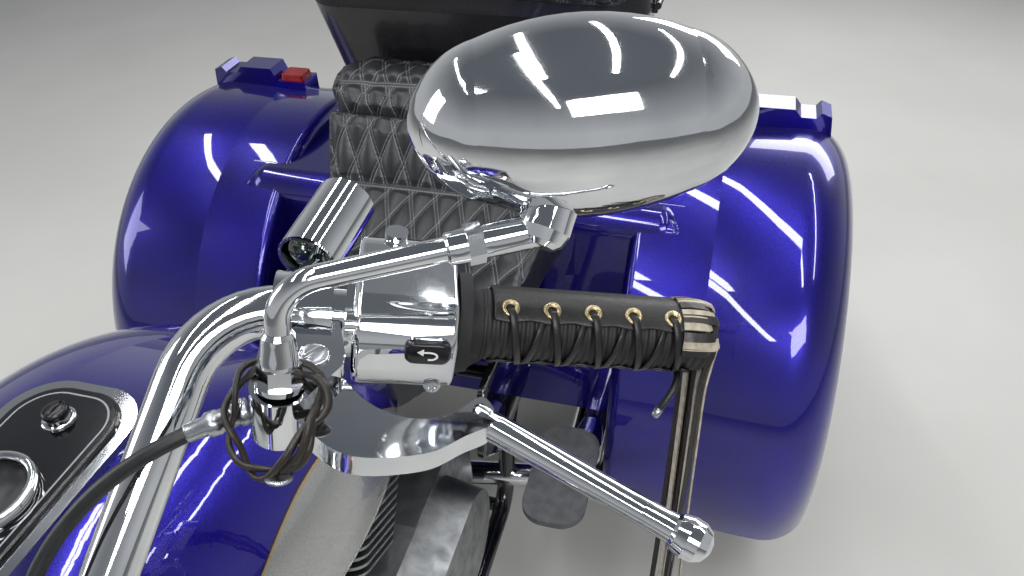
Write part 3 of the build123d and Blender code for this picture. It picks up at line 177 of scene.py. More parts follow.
def metal(*surface, **shader):
    """Bare or plated metal: its patches are swirled smudges with softer edges."""
    return coated(
        *surface, detail=6, distortion=0.4, tone_end=0.7, rough_end=0.75, grain_detail=2,
        Metallic=1.0, **shader,
    )


chrome_tints = ("e4e6e8", "cfd2d6")
chrome = metal("chrome_plate", *chrome_tints, 45, (0.03, 0.09))
polished = metal("polished_alloy", "d3d5d6", "b9bcbe", 30, (0.12, 0.26), 0.6, 0.01)
casting = metal("cast_alloy", "a9abac", "86898c", 24, (0.32, 0.5), 1.6, 0.12)
brushed = metal("brushed_steel", "b9bcc0", "9b9fa4", 12, (0.22, 0.34), Anisotropic=0.6)
brass = metal("brass_eyelet", "dccda4", "b5a178", 3, (0.22, 0.38))
mirror_glass = metal("mirror_glass", "eef0f2", "e6e9ec", 60, (0.005, 0.02))
frame_paint = coated(
    "frame_black_paint", "0d0d10", "15151a", 60, (0.16, 0.26), 2.2, 0.02, Coat_Weight=0.6
)
gloss_black = coated(
    "black_gloss_paint", "070709", "0c0c10", 90, (0.05, 0.1), 1.4, 0.004, Coat_Weight=1.0
)
satin_black = coated(
    "black_satin_paint", "111114", "19191d", 70, (0.22, 0.34), 1.1, 0.012, Coat_Weight=0.25
)
rubber = coated("tyre_rubber", "121214", "1c1c1f", 35, (0.62, 0.8), 0.9, 0.05)
mat_rubber = coated("footboard_rubber", "4a4b4d", "5c5d60", 20, (0.6, 0.75), 0.8, 0.06)
vinyl = coated("cable_vinyl", "0e0f11", "17181a", 15, (0.38, 0.5), 0.7, 0.02)
red_lens = coated(
    "red_lamp_lens", "a80f12", "7d080b", 12, (0.05, 0.1), 3, 0.05,
    Transmission_Weight=0.35, IOR=1.49,
)
clear_lens = coated(
    "clear_lamp_lens", "eef1f3", "dfe4e8", 25, (0.02, 0.05), 5, 0.12,
    Transmission_Weight=0.85, IOR=1.5,
)


def candy(name, deep, bright, rough=(0.22, 0.34), flakes_a_metre=2400, flake_share=0.35):
    """Candy paint: bright metal flakes about 0.4 mm wide under a tinted layer and a clear coat."""
    made, tree, bsdf = blank(
        name, Metallic=0.72, Coat_Weight=1.0, Coat_Roughness=0.025, Coat_IOR=1.52, IOR=1.5
    )
    place = add(tree, "TexCoord", pick="Object")
    flake = add(tree, "TexVoronoi", {"Vector": place, "Scale": flakes_a_metre}, pick="Color")
    sparkle = ramp(tree, add(tree, "SeparateColor", {"Color": flake}), 0.0, 1.0, 0.0, flake_share)
    pool = ramp(tree, patches(tree, 180, detail=2), 0.35, 0.65, 0.0, 0.5)
    amount = sums(tree, "ADD", sparkle, pool)
    drive(tree, bsdf, Base_Color=mix(tree, amount, colour(deep), colour(bright)))
    drive(tree, bsdf, Roughness=ramp(tree, sparkle, 0.0, flake_share, *rough))
    relief(tree, bsdf, patches(tree, 4.5, detail=1), 0.004)
    return made


violet_paint = candy("candy_violet_paint", "0a0450", "1e0f9a")


def height_above(tree, line):
    """How far a point lies above a line z = a + b (y - c)^2, in millimetres."""
    a, b, c = line
    _, y, z = coordinates(tree)
    off = sums(tree, "SUBTRACT", y, c)
    curve = sums(tree, "MULTIPLY", sums(tree, "MULTIPLY", off, off), b)
    above = sums(tree, "SUBTRACT", sums(tree, "SUBTRACT", z, a), curve)
    return sums(tree, "MULTIPLY", above, 1000)


def repainted(material, name):
    """A copy of a material, its tree, its shader and the colour it has so far."""
    made = material.copy()
    made.name = name
    bsdf = made.node_tree.nodes["Principled BSDF"]
    return made, made.node_tree, bsdf, bsdf.inputs["Base Color"].links[0].from_socket


# The tank's line, and the colours that start below each edge, in millimetres above the line
tank_line = (0.961, -3.0, -0.18)
tank_edges = ((3.2, "241052"), (1.1, "b39b6c"), (-1.1, "a4a5a3"))


def tank_coat(blur_mm=0.15):
    """Violet above the tank's sweeping line and silver below, with two fine stripes between."""
    made, tree, bsdf, base = repainted(violet_paint, "two_tone_tank_paint")
    above = height_above(tree, tank_line)
    for edge, tint in tank_edges:
        over_edge = ramp(tree, above, edge - blur_mm, edge + blur_mm, 0.0, 1.0)
        base = mix(tree, over_edge, colour(tint), base)
    drive(tree, bsdf, Base_Color=base)
    return made


tank_paint = tank_coat()


def console_coat(half_width=0.046, half_length=0.094, middle=-0.276, corner=0.036, top=1.0355):
    """Black gloss with a fine grey line inside the console's rounded outline. The way in from it
    is corner - sqrt(u^2 + v^2), with u and v how far a point is past the start of the round."""
    made, tree, bsdf, plain = repainted(gloss_black, "striped_console_paint")
    x, y, z = coordinates(tree)
    over = []
    for along, reach in ((x, half_width), (sums(tree, "SUBTRACT", y, middle), half_length)):
        past = sums(tree, "SUBTRACT", sums(tree, "ABSOLUTE", along), reach - corner)
        over.append(sums(tree, "MAXIMUM", past, 0.0))
    squares = sums(tree, "ADD", *(sums(tree, "MULTIPLY", value, value) for value in over))
    inside = sums(tree, "SUBTRACT", corner, sums(tree, "SQRT", squares))
    line_inset, line_half, line_end = 0.0075, 0.0006, 0.0008
    off_line = sums(tree, "ABSOLUTE", sums(tree, "SUBTRACT", inside, line_inset))
    line = ramp(tree, off_line, line_half, line_end, 1.0, 0.0)
    amount = sums(tree, "MULTIPLY", line, sums(tree, "GREATER_THAN", z, top))
    drive(tree, bsdf, Base_Color=mix(tree, amount, plain, colour("8f9196")))
    return made


console_paint = console_coat()


def signal_coat(lens_depth=0.012, blur=0.0002):
    """A chrome body whose front 12 mm is an amber lens."""
    made, tree, bsdf = blank("signal_chrome_and_amber", IOR=1.49)
    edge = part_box("turn_signals")[0][1] + lens_depth
    body = ramp(tree, coordinates(tree)[1], edge - blur, edge + blur, 0.0, 1.0)
    smudge = patches(tree, 30, detail=4)
    lens = mix(tree, smudge, colour("d9720c"), colour("b85a06"))
    shell = mix(tree, smudge, *(colour(tint) for tint in chrome_tints))
    drive(
        tree, bsdf, Base_Color=mix(tree, body, lens, shell), Metallic=body,
        Roughness=ramp(tree, smudge, 0.3, 0.7, 0.03, 0.1),
    )
    return made


signal_finish = signal_coat()

# %% [markdown]
# ## Which solid gets which material
# The seats are left out, because quilted covers take their place.

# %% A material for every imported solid
finishes = {
    chrome: (
        "exhaust", "air_cleaner", "console_trim", "trunk_stand", "foot_pedals", "fork_tubes",
        "triple_clamps", "headlamp", "handlebar", "switch_housings", "lever_perches", "levers",
        "mirror_stems", "mirror_shells", "accessory_lamp",
    ),
    polished: ("front_rim", "rear_rim_left", "rear_rim_right", "fork_sliders"),
    casting: ("crankcase", "cylinders"),
    frame_paint: ("frame", "rear_axle"),
    gloss_black: ("side_covers",),
    console_paint: ("tank_console",),
    satin_black: ("tour_trunk", "tour_trunk_lid", "grip_fringes"),
    rubber: ("front_tyre", "rear_tyre_left", "rear_tyre_right", "grips"),
    mat_rubber: ("footboards",),
    vinyl: ("clutch_cable",),
    violet_paint: ("rear_body", "rear_hatch", "rear_fenders", "front_fender"),
    tank_paint: ("fuel_tank",),
    red_lens: ("tail_lamps",),
    signal_finish: ("turn_signals",),
    clear_lens: ("headlamp_lens",),
    mirror_glass: ("mirror_glasses",),
    brushed: ("number_plate",),
}


def wear(obj, *materials):
    """Gives an object its material slots afresh."""
    obj.data.materials.clear()
    for material in materials:
        obj.data.materials.append(material)


for material, names in finishes.items():
    for name in names:
        wear(solids[name], material)
print("dressed", sum(len(names) for names in finishes.values()), "solids")

# %% [markdown]
# ## Mesh tools
# A mesh is read into an array with one row a vertex, worked on as a whole, and written back.

# %% Arrays in and out of meshes
def link_mesh(name, points, faces, *materials, smooth=True):
    """A new object from arrays of points and faces."""
    mesh = bpy.data.meshes.new(name)
    mesh.from_pydata([tuple(p) for p in points], [], [tuple(int(i) for i in f) for f in faces])
    mesh.validate()
    made = linked(name, mesh)
    if smooth:
        mesh.shade_smooth()
    wear(made, *materials)
    return made


def rows_of(collection, field):
    """One field with three numbers of every item, one row each."""
    values = np.empty(len(collection) * 3)
    collection.foreach_get(field, values)
    return values.reshape(-1, 3)


def points_of(obj):
    """The vertices' places."""
    return rows_of(obj.data.vertices, "co")


def move_points(obj, points):
    """Writes the vertices' places back."""
    obj.data.vertices.foreach_set("co", np.asarray(points, dtype=float).ravel())
    obj.data.update()


def bake(obj):
    """Makes what the modifiers show the object's own mesh."""
    shown = obj.evaluated_get(bpy.context.evaluated_depsgraph_get())
    mesh = bpy.data.meshes.new_from_object(shown)
    obj.modifiers.clear()
    obj.data = mesh


def modify(obj, kind, **settings):
    """Adds a modifier with its settings and bakes it."""
    modifier = obj.modifiers.new(kind.lower(), kind)
    for key, value in settings.items():
        setattr(modifier, key, value)
    bake(obj)


def grid_faces(rows, columns, wrap_rows=False, wrap_columns=False):
    """Quads over a grid of rows x columns vertices, closed on itself where asked."""
    r = np.arange(rows if wrap_rows else rows - 1)[:, None]
    c = np.arange(columns if wrap_columns else columns - 1)[None, :]
    r1, c1 = (r + 1) % rows, (c + 1) % columns
    corners = [r * columns + c, r * columns + c1, r1 * columns + c1, r1 * columns + c]
    return np.stack(np.broadcast_arrays(*corners), axis=-1).reshape(-1, 4)


def smooth_step(values, low, high):
    """0 below low, 1 above high and a smooth 3t^2 - 2t^3 between."""
    t = np.clip((values - low) / (high - low), 0, 1)
    return t * t * (3 - 2 * t)


def bell(values, middle, width):
    """1 in the middle and falling off as exp(-((value - middle) / width)^2)."""
    return np.exp(-(((values - middle) / width) ** 2))


def unit(rows):
    """Directions with their lengths brought to 1."""
    rows = np.asarray(rows, dtype=float)
    return rows / np.linalg.norm(rows, axis=-1, keepdims=True)


# %% [markdown]
# ## Quilted leather seats
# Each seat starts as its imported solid, remeshed and let swell under a little pressure like a
# cushion in its cover. The quilting comes after. Two families of seam lines cross over it:
# with x across and s the way along the seat's top outline,
#     u = x / width + s / height,   v = x / width - s / height
# and a seam runs wherever u or v is a whole number. Between the seams the leather stands up as
# the product of two sines, raised to a small power so that the diamonds are plump.

# %% Pillow and quilt
quilt_width, quilt_height = 0.043, 0.110
plumpness = 0.42  # the small power
stitches_a_side, stitches_a_metre = 14, 210


def swelling(obj, shrink, cap, pressure=4.0, frames=20):
    """Lets a closed cover swell under pressure, moving no point further than the cap."""
    start = points_of(obj) - rows_of(obj.data.vertex_normals, "vector") * shrink
    move_points(obj, start)
    cloth = obj.modifiers.new("cloth", "CLOTH")
    cloth.settings.use_pressure = True
    cloth.settings.uniform_pressure_force = pressure
    cloth.settings.effector_weights.gravity = 0
    cloth.settings.quality = 5
    for number in range(1, frames + 1):
        scene.frame_set(number)
    bake(obj)
    scene.frame_set(1)
    moved = points_of(obj) - start
    length = np.linalg.norm(moved, axis=1, keepdims=True)
    move_points(obj, start + moved * np.minimum(1, cap / np.maximum(length, 1e-9)))


def along_outline(y, z, outline):
    """For each point, the way along a (y, z) outline to the place on it that is nearest."""
    best = np.full(len(y), np.inf)
    way = np.zeros(len(y))
    passed = 0.0
    for (y0, z0), (y1, z1) in zip(outline, outline[1:]):
        run = math.hypot(y1 - y0, z1 - z0)
        t = np.clip(((y - y0) * (y1 - y0) + (z - z0) * (z1 - z0)) / run**2, 0, 1)
        gap = np.hypot(y - y0 - t * (y1 - y0), z - z0 - t * (z1 - z0))
        nearer = gap < best
        best[nearer] = gap[nearer]
        way[nearer] = passed + t[nearer] * run
        passed += run
    return way


def write_uv(obj, name, per_vertex):
    """Stores two numbers a vertex as a UV map."""
    layer = obj.data.uv_layers.new(name=name)
    corner = np.empty(len(obj.data.loops), dtype=int)
    obj.data.loops.foreach_get("vertex_index", corner)
    layer.data.foreach_set("uv", np.asarray(per_vertex)[corner].ravel())


def cushion(node, name, body, outline, seams, voxel=0.006, depth=0.009):
    """A stuffed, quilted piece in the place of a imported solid, with seams across it."""
    made = linked(name, solids[node].data.copy())
    modify(made, "REMESH", mode="VOXEL", voxel_size=voxel)
    modify(made, "SMOOTH", factor=0.5, iterations=6)
    swelling(made, shrink=0.002, cap=0.006)
    modify(made, "SUBSURF", levels=1)
    points, normals = points_of(made), rows_of(made.data.vertex_normals, "vector")
    way = along_outline(points[:, 1], points[:, 2], outline)
    u = points[:, 0] / quilt_width + way / quilt_height
    v = points[:, 0] / quilt_width - way / quilt_height
    pillow = (np.abs(np.sin(np.pi * u)) * np.abs(np.sin(np.pi * v))) ** plumpness
    # Only the top and the front are quilted, and each seam across presses the pillows down
    quilted = smooth_step(np.maximum(normals[:, 2], -normals[:, 1]), 0.45, 0.75)
    offset = (way[:, None] - np.array([seams])).T
    nearest = offset[np.abs(offset).argmin(axis=0), np.arange(len(way))]
    pillow *= smooth_step(np.abs(nearest), 0.003, 0.016)
    move_points(made, points - normals * (depth * quilted * (1 - pillow))[:, None])
    write_uv(made, "quilt", np.stack([u, v], axis=1))
    for label, values in (("quilted", quilted), ("cross_mm", nearest * 1000)):
        layer = made.data.attributes.new(label, "FLOAT", "POINT")
        layer.data.foreach_set("value", values)
    made.data.shade_smooth()
    wear(made, seat_leather)
    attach(made, body)
    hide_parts(node)
    print(name, len(made.data.polygons), "faces")
    return made


def seam_distance(tree, coordinate, span_mm):
    """How far a point is from the nearest whole number of its coordinate, in millimetres."""
    shifted = sums(tree, "FRACT", sums(tree, "ADD", coordinate, 0.5))
    away = sums(tree, "ABSOLUTE", sums(tree, "SUBTRACT", shifted, 0.5))
    return sums(tree, "MULTIPLY", away, span_mm)


def stitch_rows(tree, gap_mm, along, count, row_mm=2.6, thread_share=0.62):
    """1 on the threads of two rows of stitches, 2.6 mm each side of a seam, else 0."""
    off_row = sums(tree, "ABSOLUTE", sums(tree, "SUBTRACT", gap_mm, row_mm))
    in_row = ramp(tree, off_row, 0.6, 0.9, 1.0, 0.0)
    dash = sums(tree, "FRACT", sums(tree, "MULTIPLY", along, count))
    return sums(tree, "MULTIPLY", in_row, sums(tree, "LESS_THAN", dash, thread_share))


def stitches(tree):
    """1 on every thread: beside the diamonds' seams and, clear of them, beside the seams across."""
    uv = add(tree, "UVMap", pick="UV", uv_map="quilt")
    u, v, _ = add(tree, "SeparateXYZ", {0: uv}).node.outputs
    span = 1000 * quilt_width * quilt_height / math.hypot(quilt_width, quilt_height)
    diamonds = [
        stitch_rows(tree, seam_distance(tree, one, span), other, stitches_a_side)
        for one, other in ((u, v), (v, u))
    ]
    cross = sums(tree, "ABSOLUTE", add(tree, "Attribute", pick="Fac", attribute_name="cross_mm"))
    across = stitch_rows(tree, cross, coordinates(tree)[0], stitches_a_metre)
    clear = ramp(tree, cross, 4.0, 5.0, 0.0, 1.0)
    both = sums(tree, "MULTIPLY", sums(tree, "MAXIMUM", *diamonds), clear)
    here = add(tree, "Attribute", pick="Fac", attribute_name="quilted")
    return sums(tree, "MULTIPLY", sums(tree, "MAXIMUM", both, across), here)


def leather(name, tint, shade, thread=None):
    """Grained leather: pores a millimetre wide, soft creases, and stitches where it is quilted."""
    made, tree, bsdf = blank(name, IOR=1.48, Coat_Weight=0.12, Coat_Roughness=0.35)
    place = add(tree, "TexCoord", pick="Object")
    crease = add(tree, "TexNoise", {"Vector": place, "Scale": 260, "Detail": 4}, pick="Fac")
    pores = add(
        tree, "TexVoronoi", {"Vector": place, "Scale": 720, "Randomness": 0.9},
        pick="Distance", feature="F1",
    )
    worn = ramp(tree, patches(tree, 55, detail=4), 0.35, 0.7, 0.0, 1.0)
    base = mix(tree, worn, colour(tint), colour(shade))
    height = sums(tree, "ADD", *(sums(tree, "MULTIPLY", part, 0.5) for part in (pores, crease)))
    if thread:
        threads = stitches(tree)
        base = mix(tree, threads, base, colour(thread))
        height = sums(tree, "ADD", height, sums(tree, "MULTIPLY", threads, 2.0))
    drive(tree, bsdf, Base_Color=base)
    drive(tree, bsdf, Roughness=ramp(tree, crease, 0.3, 0.7, 0.34, 0.5))
    relief(tree, bsdf, height, 0.22)
    return made


seat_leather = leather("quilted_black_leather", "1b1c1e", "28292c", thread="77787c")
plain_leather = leather("grained_black_leather", "0b0b0c", "151516")
rider_outline = (
    (0.101, 0.792), (0.230, 0.752), (0.420, 0.742), (0.548, 0.778), (0.600, 0.880), (0.622, 0.880),
)
pillion_outline = ((0.623, 0.745), (0.623, 0.905), (0.660, 0.922), (0.740, 0.930))
backrest_outline = ((0.750, 1.095), (0.704, 1.090), (0.696, 1.030), (0.740, 1.020))
for node, name, body, outline, seams in (
    ("rider_seat", "rider_seat_cover", "chassis", rider_outline, (0.4545,)),
    ("pillion_seat", "pillion_cover", "chassis", pillion_outline, (0.186,)),
    ("backrest_pad", "backrest_cover", "trunk_lid", backrest_outline, (0.020, 0.112)),
):
    cushion(node, name, body, outline, seams)

# %% [markdown]
# ## Tyres with their tread
# A tyre's section is a ring of (across, radius) points. The side bulges like a quarter sine from
# the bead up to the shoulder, and a flattened round goes over the crown. The ring is turned into
# a grid: one row a section point, one column an angle. Grooves are cut by lowering the crown's
# points: a wave in the angle, shifted by how far across the point is, gives slanted blocks.

# %% Three tyres from one function
shoulder = 0.52  # a share of the tyre's height
groove_depth = 0.004
blocks_round = 36


def tyre_section(radius, half_width, rim):
    """The closed ring of (across, radius) points."""
    height = radius - rim
    bead = half_width * 0.74
    side = [
        (-bead - (half_width - bead) * math.sin(t * math.pi / 2), rim + height * shoulder * t)
        for t in np.linspace(0, 1, 9)
    ]
    crown = []
    for angle in math.pi * np.linspace(0, 1, 33)[1:-1]:
        x = -half_width * math.copysign(abs(math.cos(angle)) ** 0.8, math.cos(angle))
        rise = shoulder + (1 - shoulder) * abs(math.sin(angle)) ** 0.55
        crown.append((x, rim + height * rise))
    foot = [(bead * 0.9, rim - 0.001), (-bead * 0.9, rim - 0.001)]
    return side + crown + [(-x, r) for x, r in side[::-1]] + foot


def tyre(node, name, body, radius, half_width, rim, slant, columns=432):
    """A tyre about its node's middle, with grooves in its crown."""
    low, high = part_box(node)
    middle = (np.array(low) + np.array(high)) / 2
    section = tyre_section(radius, half_width, rim)
    across, out = np.array(section).T
    angle = np.linspace(0, 2 * math.pi, columns, endpoint=False)
    share = np.abs(across) / half_width
    shift = np.sign(across) * share * slant
    wave = np.sin(angle[None, :] * blocks_round + shift[:, None])
    blocks = smooth_step(-wave, 0.55, 0.8) * smooth_step(share, 0.12, 0.2)[:, None]
    rings = bell(share, 0.38, 0.045) + bell(share, 0, 0.05)
    on_crown = smooth_step(out, rim + (radius - rim) * 0.72, rim + (radius - rim) * 0.8)
    r = out[:, None] - groove_depth * on_crown[:, None] * np.maximum(blocks, rings[:, None])
    turned_round = (np.broadcast_to(across[:, None], r.shape), r * np.cos(angle), r * np.sin(angle))
    points = np.stack(turned_round, axis=-1).reshape(-1, 3) + middle
    faces = grid_faces(len(section), columns, wrap_rows=True, wrap_columns=True)
    made = link_mesh(name, points, faces, rubber)
    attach(made, body)
    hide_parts(node)
    print(name, len(faces), "faces")
    return made


tyre("front_tyre", "front_tread", "front_wheel", 0.322, 0.0645, 0.2053, 2.2)
tyre("rear_tyre_left", "rear_tread_left", "rear_wheel_left", 0.320, 0.0975, 0.1963, 3.0)
tyre("rear_tyre_right", "rear_tread_right", "rear_wheel_right", 0.320, 0.0975, 0.1963, 3.0)

# %% [markdown]
# ## The handlebar's end
# Small pieces there are placed in millimetres in the bar end's own directions, the ones that the
# solids use: back, up and out along the bar. With the rows of bar_axes as those directions,
#     place = start + back * row 1 + up * row 2 + out * row 3.
# The right side is the left one with x turned over.

# %% Points, swept strips and turned shapes in the bar end's directions
bar_start = np.array([0.330, -0.222, 1.198])
bar_out = unit(np.array([0.447, -0.1785, 1.173]) - bar_start)
bar_back = unit(np.cross([0, 0, 1], bar_out))
bar_up = np.cross(bar_out, bar_back)
bar_axes = np.stack([bar_back, bar_up, bar_out])
both_sides = ((1, "left"), (-1, "right"))


def bar(points, side=1):
    """Places in metres for rows of (back, up, out) in millimetres."""
    return (bar_start + np.asarray(points, dtype=float) @ bar_axes / 1000) * (side, 1, 1)


def round_bar(angle, radius, out):
    """(back, up, out) at an angle round the bar, from up towards the front, in degrees."""
    turn = np.radians(angle)
    rows = np.broadcast_arrays(-radius * np.sin(turn), radius * np.cos(turn), out)
    return np.stack(rows, axis=-1)


def smooth_line(points, count):
    """A smooth line through points: each run bends towards its neighbours' directions."""
    points = np.asarray(points, dtype=float)
    padded = np.vstack([2 * points[0] - points[1], points, 2 * points[-1] - points[-2]])
    place = np.linspace(0, len(points) - 1, count)
    k = np.minimum(place.astype(int), len(points) - 2)
    t = (place - k)[:, None]
    a, b, c, d = (padded[k + n] for n in range(4))
    return 0.5 * (
        2 * b + (c - a) * t + (2 * a - 5 * b + 4 * c - d) * t**2
        + (3 * b - a - 3 * c + d) * t**3
    )


def end_faces(rows, columns):
    """The two faces that close a tube's first and last row."""
    last = (rows - 1) * columns
    return [list(range(columns))[::-1], list(range(last, last + columns))]


def swept(path, section, normal, taper=None, closed=False):
    """Sweeps a section, in rows of (across, outward) millimetres, along a path. The outward
    direction starts as given; each step takes away its part along the path and makes it 1 long."""
    runs = np.roll(path, -1, axis=0) - np.roll(path, 1, axis=0)
    if not closed:
        runs[0], runs[-1] = path[1] - path[0], path[-1] - path[-2]
    runs = unit(runs)
    outward = np.empty_like(path)
    for k, run in enumerate(runs):
        normal = unit(normal - run * (normal @ run))
        outward[k] = normal
    across = np.cross(runs, outward)
    size = np.ones(len(path)) if taper is None else np.asarray(taper)
    section = np.asarray(section, dtype=float) / 1000
    points = path[:, None] + size[:, None, None] * (
        section[None, :, :1] * across[:, None] + section[None, :, 1:] * outward[:, None]
    )
    faces = grid_faces(len(path), len(section), wrap_rows=closed, wrap_columns=True).tolist()
    if not closed:
        faces += end_faces(len(path), len(section))
    return points.reshape(-1, 3), faces


def circle(radius, sides=10, squash=1.0):
    """A round or flattened section."""
    turn = np.linspace(0, 2 * np.pi, sides, endpoint=False)
    return np.stack([radius * np.cos(turn), radius * squash * np.sin(turn)], axis=1)


def flat_section(half_width, low, high):
    """A flat strip's section, from low to high outward."""
    return [(-half_width, low), (half_width, low), (half_width, high), (-half_width, high)]


def turned(profile, start, axis, sides=32):
    """Turns (along, radius) rows in millimetres about an axis; the ends are closed."""
    axis = unit(axis)
    first = unit(np.cross(axis, [0.31, 0.52, 0.79]))
    turn = np.linspace(0, 2 * np.pi, sides, endpoint=False)
    ring = np.cos(turn)[:, None] * first + np.sin(turn)[:, None] * np.cross(axis, first)
    along, radius = np.asarray(profile, dtype=float).T / 1000
    points = np.asarray(start) + along[:, None, None] * axis + radius[:, None, None] * ring
    faces = grid_faces(len(profile), sides, wrap_columns=True).tolist()
    return points.reshape(-1, 3), faces + end_faces(len(profile), sides)


def gathered(name, shapes, body, slot, *materials, smooth=True):
    """One piece from many (points, faces) shapes, riding on a body."""
    points, faces, passed = [], [], 0
    for some_points, some_faces in shapes:
        points.append(some_points)
        faces += [[n + passed for n in face] for face in some_faces]
        passed += len(some_points)
    made = link_mesh(name, np.vstack(points), faces, *materials, smooth=smooth)
    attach(made, body)
    return made


def outward_faces(obj):
    """Turns every face of a closed piece outwards."""
    shape = bmesh.new()
    shape.from_mesh(obj.data)
    bmesh.ops.recalc_face_normals(shape, faces=shape.faces)
    shape.to_mesh(obj.data)
    shape.free()


# %% [markdown]
# ## Laced grips and fringes
# A leather cover is wrapped round the ribbed rubber grip and stops short of meeting itself. Along
# its edge sit brass eyelets, and a flat lace goes from each over the rubber to the other edge and
# back under the next. At the grip's end hangs a fringe of leather strips. Angles go round the bar
# from up towards the front, in degrees; radii and ways along the bar are in millimetres.

# %% Covers, eyelets, laces, ribs and fringes on both sides
eyelet_angle, edge_angle, far_angle = 25, 45, 128
eyelet_pitch = 20.9
eyelet_outs = 19.0 + eyelet_pitch * np.arange(5)
cover_radius, cover_start, cover_end = 19.3, 11, 118
strip_count = 13
lace_leather = leather("waxed_black_lace", "0c0c0d", "171718")
suede = coated("split_suede", "bab1a0", "978d7b", 5, (0.75, 0.9), 0.5, 0.12, Sheen_Weight=0.25)
strip_leather = leather("dark_strip_leather", "1d1a18", "2e2925")
grip_rubber = coated("grip_rubber", "0f0f11", "19191b", 8, (0.5, 0.66), 0.6, 0.03)


def grip_cover(side, word):
    """A grid round the bar and along it, its edges drawn in a little at each eyelet, with folds
    near both ends, creases beside the far edge and a piped seam."""
    outs = np.linspace(cover_start, cover_end, 108)
    draw = np.cos(2 * np.pi * (outs - eyelet_outs[0]) / eyelet_pitch)
    low = far_angle - 360 - 3.0 * draw
    high = edge_angle + 1.8 * draw
    angle = low + (high - low) * np.linspace(0, 1, 81)[:, None]
    outs = outs[None, :]
    fold = bell(outs, 17, 7) + bell(outs, 116, 6)
    crease = 0.22 * np.sin(outs * 0.9 + angle * 0.045) * bell(angle, low, 60)
    pipe = 0.9 * bell(angle, -42, 3.2)
    radius = cover_radius + crease + 0.25 * np.sin(np.radians(angle * 2)) + 0.12 * fold + pipe
    points = bar(round_bar(angle, radius, outs), side).reshape(-1, 3)
    cover = link_mesh(f"grip_cover_{word}", points, grid_faces(*angle.shape), plain_leather)
    modify(cover, "SOLIDIFY", thickness=0.0013, offset=side)
    outward_faces(cover)
    cover.data.shade_smooth()
    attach(cover, "steering")


def grip_sleeve(side, word, rib_pitch=4.2):
    """The rubber under the cover: a sleeve with a rib every 4.2 mm."""
    outs = np.arange(6.5, 124, 0.7)
    radii = 17.25 + 0.75 * smooth_step(np.sin(2 * np.pi * outs / rib_pitch), -0.35, 0.35)
    profile = np.stack([outs, radii], axis=1)
    sleeve = turned(profile, bar([0, 0, 0], side), bar_out * (side, 1, 1), 48)
    gathered(f"grip_ribs_{word}", [sleeve], "steering", "grip_leather", grip_rubber)


def grip_eyelets(side, word):
    """Rolled brass rings along the cover's edge, and the dark hole in each."""
    ring = [(-0.4, 4.6), (0.4, 4.6), (0.9, 4.1), (1.1, 3.5), (0.8, 2.7), (0, 2.3)]
    eyelets, holes = [], []
    for out in eyelet_outs:
        middle = bar(round_bar(eyelet_angle, 19.6, out), side)
        facing = bar(round_bar(eyelet_angle, 29.6, out), side) - middle
        eyelets.append(turned(ring, middle, facing, 28))
        holes.append(turned([(-0.4, 2.6), (0.05, 2.6)], middle, facing, 20))
    gathered(f"grip_eyelets_{word}", eyelets, "steering", "chrome", brass)
    gathered(f"grip_eyelet_holes_{word}", holes, "steering", "grip_leather", lace_leather)


def grip_laces(side, word):
    """Laces down over the rubber from each eyelet and back up under the cover's edge, in rows of
    (angle, radius, way past the eyelet), and the last one's loose end with a metal tip."""
    down = [(eyelet_angle, 19.4, 0), (eyelet_angle + 8, 21.2, 0.6), (54, 20.4, 2.2),
            (85, 19.5, 4.4), (110, 19.4, 6.2), (132, 19.0, 7.6)]
    back_up = [(136, 18.9, 9.4), (112, 19.4, 10.8), (84, 19.4, 13.0), (60, 19.2, 15.0),
               (42, 18.4, 16.8)]
    flat = circle(2.0, 12, 0.4)
    laces = []
    for out in eyelet_outs:
        last = out == eyelet_outs[-1]
        for route in (down, back_up[:2] if last else back_up):
            angles, radii, past = np.array(route).T
            line = bar(smooth_line(round_bar(angles, radii, out + past), 30), side)
            outward = line[0] - bar([0, 0, out + past[0]], side)
            laces.append(swept(line, flat, outward))
    tail = bar(smooth_line([
        (-10, -15.5, 113), (-16, -14, 112), (-22, -16, 109.5), (-26, -21, 106),
        (-28.5, -27, 102.5),
    ], 24), side)
    laces.append(swept(tail, circle(1.9, 12), bar_up * (side, 1, 1)))
    gathered(f"grip_lace_{word}", laces, "steering", "grip_leather", lace_leather)
    tip = turned(
        [(0, 1.3), (0.4, 2.2), (5, 2.2), (5.6, 1.4)],
        tail[-1] + (tail[-2] - tail[-1]) * 0.8, tail[-1] - tail[-2], 16,
    )
    gathered(f"lace_tip_{word}", [tip], "steering", "chrome", brushed)


